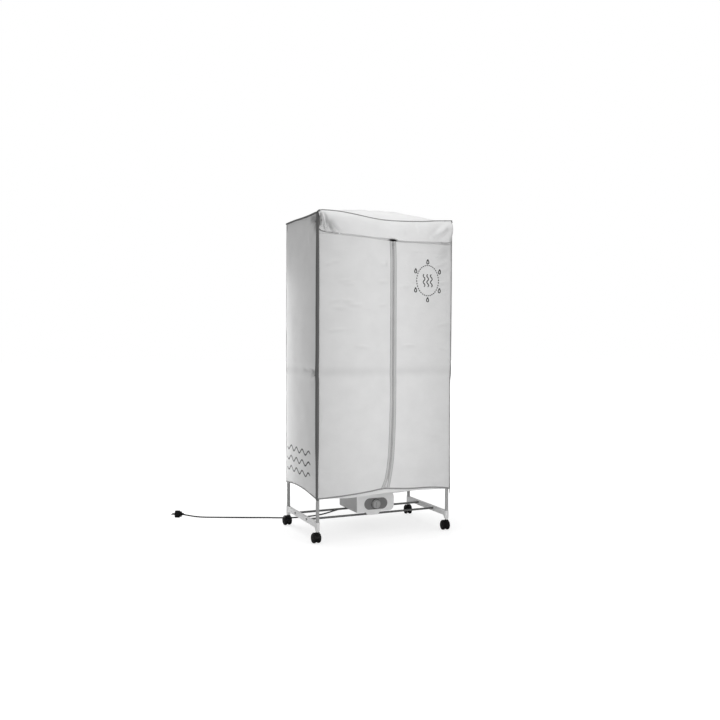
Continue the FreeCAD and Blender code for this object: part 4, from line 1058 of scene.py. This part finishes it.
cornerSeams = (
    # name, x, y, lowest and highest z, radius at rising heights, finish
    # painted shade: the front-left seam takes the darker trim for the shade on that corner
    (
        "FrontLeft", -0.3452, -0.2120, 0.2030, 1.4985,
        ((0.20, 0.0056), (0.36, 0.0066), (0.46, 0.0088), (0.90, 0.0086), (1.30, 0.0080), (1.50, 0.0052)),
        "trimPaintedDarker",
    ),
    ("FrontRight", 0.3480, -0.2110, 0.2030, 1.5030, ((0.20, 0.0028), (1.50, 0.0028)), "greyTrim"),
    ("RearLeft", -0.3458, 0.2098, 0.2170, 1.4990, ((0.20, 0.0018), (1.50, 0.0018)), "coverCloth"),
    ("RearRight", 0.3458, 0.2098, 0.2170, 1.4990, ((0.20, 0.0018), (1.50, 0.0018)), "coverCloth"),
)
seamRun = {
    # how the corner seams swell over the rail at mid height, and how they waver
    "steps": 60, "puff": 0.0024, "puffReach": 0.03, "puffDeep": 0.4, "waver": (0.08, 0.0008), "waverRow": 0.3,
    # the roof's seams: where each starts and ends, how far it stands off, its radius
    "start": -0.3480, "frontEnd": 0.3490, "frontY": -0.2140, "frontLift": 0.0010, "frontRadius": 0.0024,
    "cornerEnd": -0.330, "cornerRadius": 0.0040, "backY": 0.2120, "backRadius": 0.0026,
    "sideX": 0.3488, "sideStart": -0.2120, "sideEnd": 0.2050, "sideLift": 0.0005, "sideRadius": 0.0042,
}


def makeCornerSeam(name, x, y, low, high, radii, look):
    points = []
    for z in spaced(low, high, seamRun["steps"]):
        railward = (z - cover["railHigh"]) / seamRun["puffReach"]
        puff = seamRun["puff"] * math.exp(-(railward**2)) if y < 0 else 0
        puff += ripple(z, seamRun["waverRow"], *seamRun["waver"], x + y)
        drawn = smoothLine(lines["waist"], z) if x > 0 and y < 0 else 0
        swelled = math.copysign(puff * seamRun["puffDeep"], y)
        points.append((x + math.copysign(puff, x) + drawn, y + swelled, z))
    seam = piping(f"cornerSeam{name}", points, 1.0, finish[look])
    for vertex in seam.data.vertices:  # the radius of 1 is brought down to the one at each height
        share = clamped((vertex.co.z - low) / (high - low))
        spot = points[round(share * seamRun["steps"])]
        middle = Vector((spot[0], spot[1], vertex.co.z))
        outward = vertex.co - middle
        if outward.length > 0:
            vertex.co = middle + outward.normalized() * smoothLine(radii, vertex.co.z)


def makeSeams():
    # bound seams down the four corners and round the roof
    for corner in cornerSeams:
        makeCornerSeam(*corner)
    front = [
        (x, seamRun["frontY"], smoothLine(lines["frontSeam"], x) + seamRun["frontLift"])
        for x in spaced(seamRun["start"], seamRun["frontEnd"], 60)
    ]
    piping("roofSeamFront", front, seamRun["frontRadius"], finish["greyTrim"])
    corner = [point for point in front if point[0] < seamRun["cornerEnd"]]
    piping("roofSeamCorner", corner, seamRun["cornerRadius"], finish["trimPaintedDarker"])
    back = [
        (x, seamRun["backY"], smoothLine(lines["backTop"], x))
        for x in spaced(seamRun["start"], -seamRun["start"], 40)
    ]
    piping("roofSeamBack", back, seamRun["backRadius"], finish["greyTrim"])
    for name, sign in (("Left", -1), ("Right", 1)):
        side = [
            (sign * seamRun["sideX"], y, smoothLine(lines["sideTop"], y) + seamRun["sideLift"])
            for y in spaced(seamRun["sideStart"], seamRun["sideEnd"], 36)
        ]
        piping(f"roofSeam{name}", side, seamRun["sideRadius"], finish["trimPaintedDarker"])


stroke = {"lift": 0.00035, "sunk": 0.6, "blunt": 0.75}  # how a printed stroke lies on the cloth, and its ends


def strokeMesh(name, strokes, place, outward, wide, material, body):
    # thin printed strokes laid on the cloth; place(a, b) gives the cloth's point
    mesh = bmesh.new()
    lift = Vector(outward) * stroke["lift"]
    for line in strokes:
        rows = []
        for index, (a, b) in enumerate(line):
            before, after = line[max(index - 1, 0)], line[min(index + 1, len(line) - 1)]
            runA, runB = after[0] - before[0], after[1] - before[1]
            long = math.hypot(runA, runB)
            taper = wide / 2 * (stroke["blunt"] if index in (0, len(line) - 1) else 1.0)
            acrossA, acrossB = -runB / long * taper, runA / long * taper
            row = []
            for way in (-1, 1):
                spot = Vector(place(a + acrossA * way, b + acrossB * way)) + lift
                row += [mesh.verts.new(spot), mesh.verts.new(spot - lift * stroke["sunk"])]
            rows.append(row)
        for before, after in zip(rows, rows[1:]):
            for k, j in ((0, 2), (2, 3), (3, 1), (1, 0)):
                mesh.faces.new((before[k], before[j], after[j], after[k]))
        mesh.faces.new((rows[0][0], rows[0][1], rows[0][3], rows[0][2]))
        mesh.faces.new((rows[-1][0], rows[-1][2], rows[-1][3], rows[-1][1]))
    bmesh.ops.recalc_face_normals(mesh, faces=mesh.faces)
    made = bpy.data.meshes.new(name)
    mesh.to_mesh(made)
    mesh.free()
    piece = bpy.data.objects.new(name, made)
    bpy.context.collection.objects.link(piece)
    flatMap(piece, 0 if outward[1] else 1, 2)
    return paint(piece, material, body)


ring = {
    "x": 0.214, "z": 1.211, "acrossRadius": 0.060, "upRadius": 0.072, "stroke": 0.0048,
    "dashes": 36, "dashShare": 0.62,
    "drops": 6, "dropAcross": 1.26, "dropUp": 1.25, "dropWide": 0.0085, "dropHigh": 0.0110, "dropPoint": 1.5,
    "waveApart": 0.020, "waveSwing": 0.0050, "waveHigh": 0.060, "waveSteps": 20,
}


def makeRing():
    # a dashed ring with six small drops outside it and three warm-air waves inside
    def place(x, z):
        return (x, frontDepth(x, z), z)

    across, up = ring["acrossRadius"], ring["upRadius"]
    strokes = []
    for dash in range(ring["dashes"]):
        start, long = math.tau * dash / ring["dashes"], math.tau / ring["dashes"] * ring["dashShare"]
        turns = [start + long * k / 3 for k in range(4)]
        strokes.append([(ring["x"] + across * math.cos(t), ring["z"] + up * math.sin(t)) for t in turns])
    for drop in range(ring["drops"]):
        t = math.tau * (drop + 0.5) / ring["drops"]
        x = ring["x"] + across * ring["dropAcross"] * math.cos(t)
        z = ring["z"] + up * ring["dropUp"] * math.sin(t)
        outline = []
        for k in range(13):
            s = math.tau * k / 12
            wide = ring["dropWide"] * math.sin(s) * math.sin(s / 2) ** ring["dropPoint"]
            outline.append((x + wide, z + ring["dropHigh"] * math.cos(s)))
        strokes.append(outline)
    count, low = ring["waveSteps"], ring["z"] - ring["waveHigh"] / 2
    for wave in (-1, 0, 1):
        middle = ring["x"] + wave * ring["waveApart"]
        strokes.append([
            (middle + ring["waveSwing"] * math.sin(k * math.pi / 5), low + ring["waveHigh"] * k / count)
            for k in range(count + 1)
        ])
    strokeMesh("ringPrint", strokes, place, (0, -1, 0), ring["stroke"], finish["print"], "right_half")


waves = {
    # rows of waves low on the left side, which run from y to y
    "heights": (0.402, 0.352, 0.302), "start": 0.175, "end": -0.145,
    "long": 0.080, "swing": 0.0110, "stroke": 0.0072, "stepsPerWave": 14,
}


def makeWaves():
    def place(y, z):
        return (-sidePush(y, z, sideCloth["seeds"]["left"]), y, z)

    start, end, long = waves["start"], waves["end"], waves["long"]
    steps = spaced(start, end, int(abs(end - start) / long * waves["stepsPerWave"]))
    for index, height in enumerate(waves["heights"]):
        line = [(y, height + waves["swing"] * math.sin((y - start) / long * math.tau)) for y in steps]
        strokeMesh(f"wavePrint{index}", [line], place, (-1, 0, 0), waves["stroke"], finish["print"], "frame")


makeSides()
makeBack()
leftHalf, leftHem = makeHalf("Left", -halves["outer"], "leftHalfTop", -halves["zipGap"])
rightHalf, rightHem = makeHalf("Right", halves["outer"], "rightHalfTop", halves["zipGap"])
leftTapes, rightTapes = makeZipTapes()
makeZipCoil()
makeHeader()
makeRoof()
makeFlap()
makeFloor()
makeSeams()
makeRing()
makeWaves()
print("cover made")


dress = {
    # the finish of each hard part, by how its node's name starts
    "pole": ("lower_pole", "upper_pole"),
    "rail": ("mid_side_rail", "mid_long_rails", "top_side_rail", "top_long_rails"),
    "rod": ("mid_hanging_rods", "top_hanging_rods"), "joint": ("mid_connectors", "top_corners"),
    "bracket": ("base_bracket",), "bar": ("base_bar",), "bolt": ("bracket_bolts",),
    "castor": ("castor_yoke",), "wheel": ("castor_wheel",),
    "shell": ("heater_lower_shell", "heater_upper_shell"), "fascia": ("control_fascia",),
    "bezel": ("control_bezel",), "knob": ("timer_knob",), "grille": ("outlet_grille",),
    "alloy": ("fan_motor", "heating_element"),
    "moulding": ("timer_unit", "fan_impeller"), "zipMetal": ("zip_slider", "zip_pull"),
    "lead": ("cord_gland", "mains_plug"),
}


def dressNodes():
    for look, starts in dress.items():
        for name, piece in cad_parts.items():
            if name.startswith(starts):
                paint(piece, finish[look])


knobGapShade = {"middle": (0.004, -0.0969, 0.137), "radius": 0.0230, "deep": 0.0012}


def makeKnobGapShade():
    # the clearance round the foot of the knob: partly its real gap, partly a dark disc as painted shade round
    # the knob
    bpy.ops.mesh.primitive_cylinder_add(
        vertices=64, radius=knobGapShade["radius"], depth=knobGapShade["deep"], location=(0, 0, 0),
        rotation=(math.pi / 2, 0, 0),
    )
    piece = bpy.context.object
    piece.name = "knobGapShade"
    bpy.ops.object.transform_apply(location=False, rotation=True, scale=False)
    for vertex in piece.data.vertices:
        vertex.co += Vector(knobGapShade["middle"])
    paint(tidyUp(piece, 40), finish["gap"], "frame")


dressNodes()
makeKnobGapShade()
print("frame dressed")


studio = {
    "floor": 0.80, "sky": 0.42, "whiteFrom": 0.35, "whiteTo": 1.60, "shade": 0.50, "white": 1.40,
    "lamps": (
        # place, point it looks at, width, height, watts
        ((0.03, -0.82, 1.28), (0.03, 0.0, 1.28), 0.40, 2.5, 4.9),
        ((0.0, 0.1, 4.5), (0.0, 0.0, 0.0), 2.2, 2.2, 55.0),
        ((-3.0, -0.7, 0.5), (-0.35, 0.0, 0.6), 1.6, 1.2, 5.0),
        ((-0.43, 0.43, 0.66), (-0.345, 0.15, 0.66), 0.08, 1.2, 1.7),
    ),
}


def makeGround():
    # a floor that goes white away from the piece, so that it meets the backdrop without a line
    bpy.ops.mesh.primitive_plane_add(size=60)
    ground = bpy.context.object
    ground.name = "ground"
    made, nodes, links, shader = newMaterial("groundPaper", {"rough": 0.9, "shine": 0.1})
    shader.inputs["Base Color"].default_value = (studio["floor"],) * 3 + (1.0,)
    reach = nodes.new("ShaderNodeVectorMath")
    reach.operation = "LENGTH"
    links.new(nodes.new("ShaderNodeNewGeometry").outputs["Position"], reach.inputs[0])
    near = nodes.new("ShaderNodeMapRange")
    near.inputs["From Min"].default_value = studio["whiteFrom"]
    near.inputs["From Max"].default_value = studio["whiteTo"]
    near.inputs["To Min"].default_value = 1 - studio["shade"]
    near.inputs["To Max"].default_value = 1.0
    links.new(reach.outputs["Value"], near.inputs["Value"])
    whiter = nodes.new("ShaderNodeMath")
    whiter.operation = "MULTIPLY"
    links.new(near.outputs["Result"], whiter.inputs[0])
    links.new(nodes.new("ShaderNodeLightPath").outputs["Is Camera Ray"], whiter.inputs[1])
    glow = nodes.new("ShaderNodeEmission")
    glow.inputs["Strength"].default_value = studio["white"]
    pick = nodes.new("ShaderNodeMixShader")
    links.new(whiter.outputs["Value"], pick.inputs["Fac"])
    links.new(shader.outputs["BSDF"], pick.inputs[1])
    links.new(glow.outputs["Emission"], pick.inputs[2])
    links.new(pick.outputs["Shader"], nodes["Material Output"].inputs["Surface"])
    ground.data.materials.append(made)
    ground.select_set(False)


def makeBackdrop():
    # white to the eye, while the light that it gives is dimmer
    world = bpy.data.worlds.new("studioSky")
    world.use_nodes = True
    bpy.context.scene.world = world
    nodes, links = world.node_tree.nodes, world.node_tree.links
    light = nodes["Background"]
    light.inputs["Color"].default_value = (1, 1, 1, 1)
    rays = nodes.new("ShaderNodeLightPath")
    bright = nodes.new("ShaderNodeMapRange")
    bright.inputs["To Min"].default_value = studio["sky"]
    bright.inputs["To Max"].default_value = 1.0
    links.new(rays.outputs["Is Camera Ray"], bright.inputs["Value"])
    links.new(bright.outputs["Result"], light.inputs["Strength"])


def makeLamps():
    for place, aim, wide, high, watts in studio["lamps"]:
        turn = (Vector(aim) - Vector(place)).to_track_quat("-Z", "Y").to_euler()
        bpy.ops.object.light_add(type="AREA", location=place, rotation=turn)
        lamp = bpy.context.object
        lamp.data.shape = "RECTANGLE"
        lamp.data.size = wide
        lamp.data.size_y = high
        lamp.data.energy = watts
        lamp.visible_camera = False
        lamp.select_set(False)


makeGround()
makeBackdrop()
makeLamps()
bpy.context.scene.view_settings.view_transform = "Standard"
print("studio made")
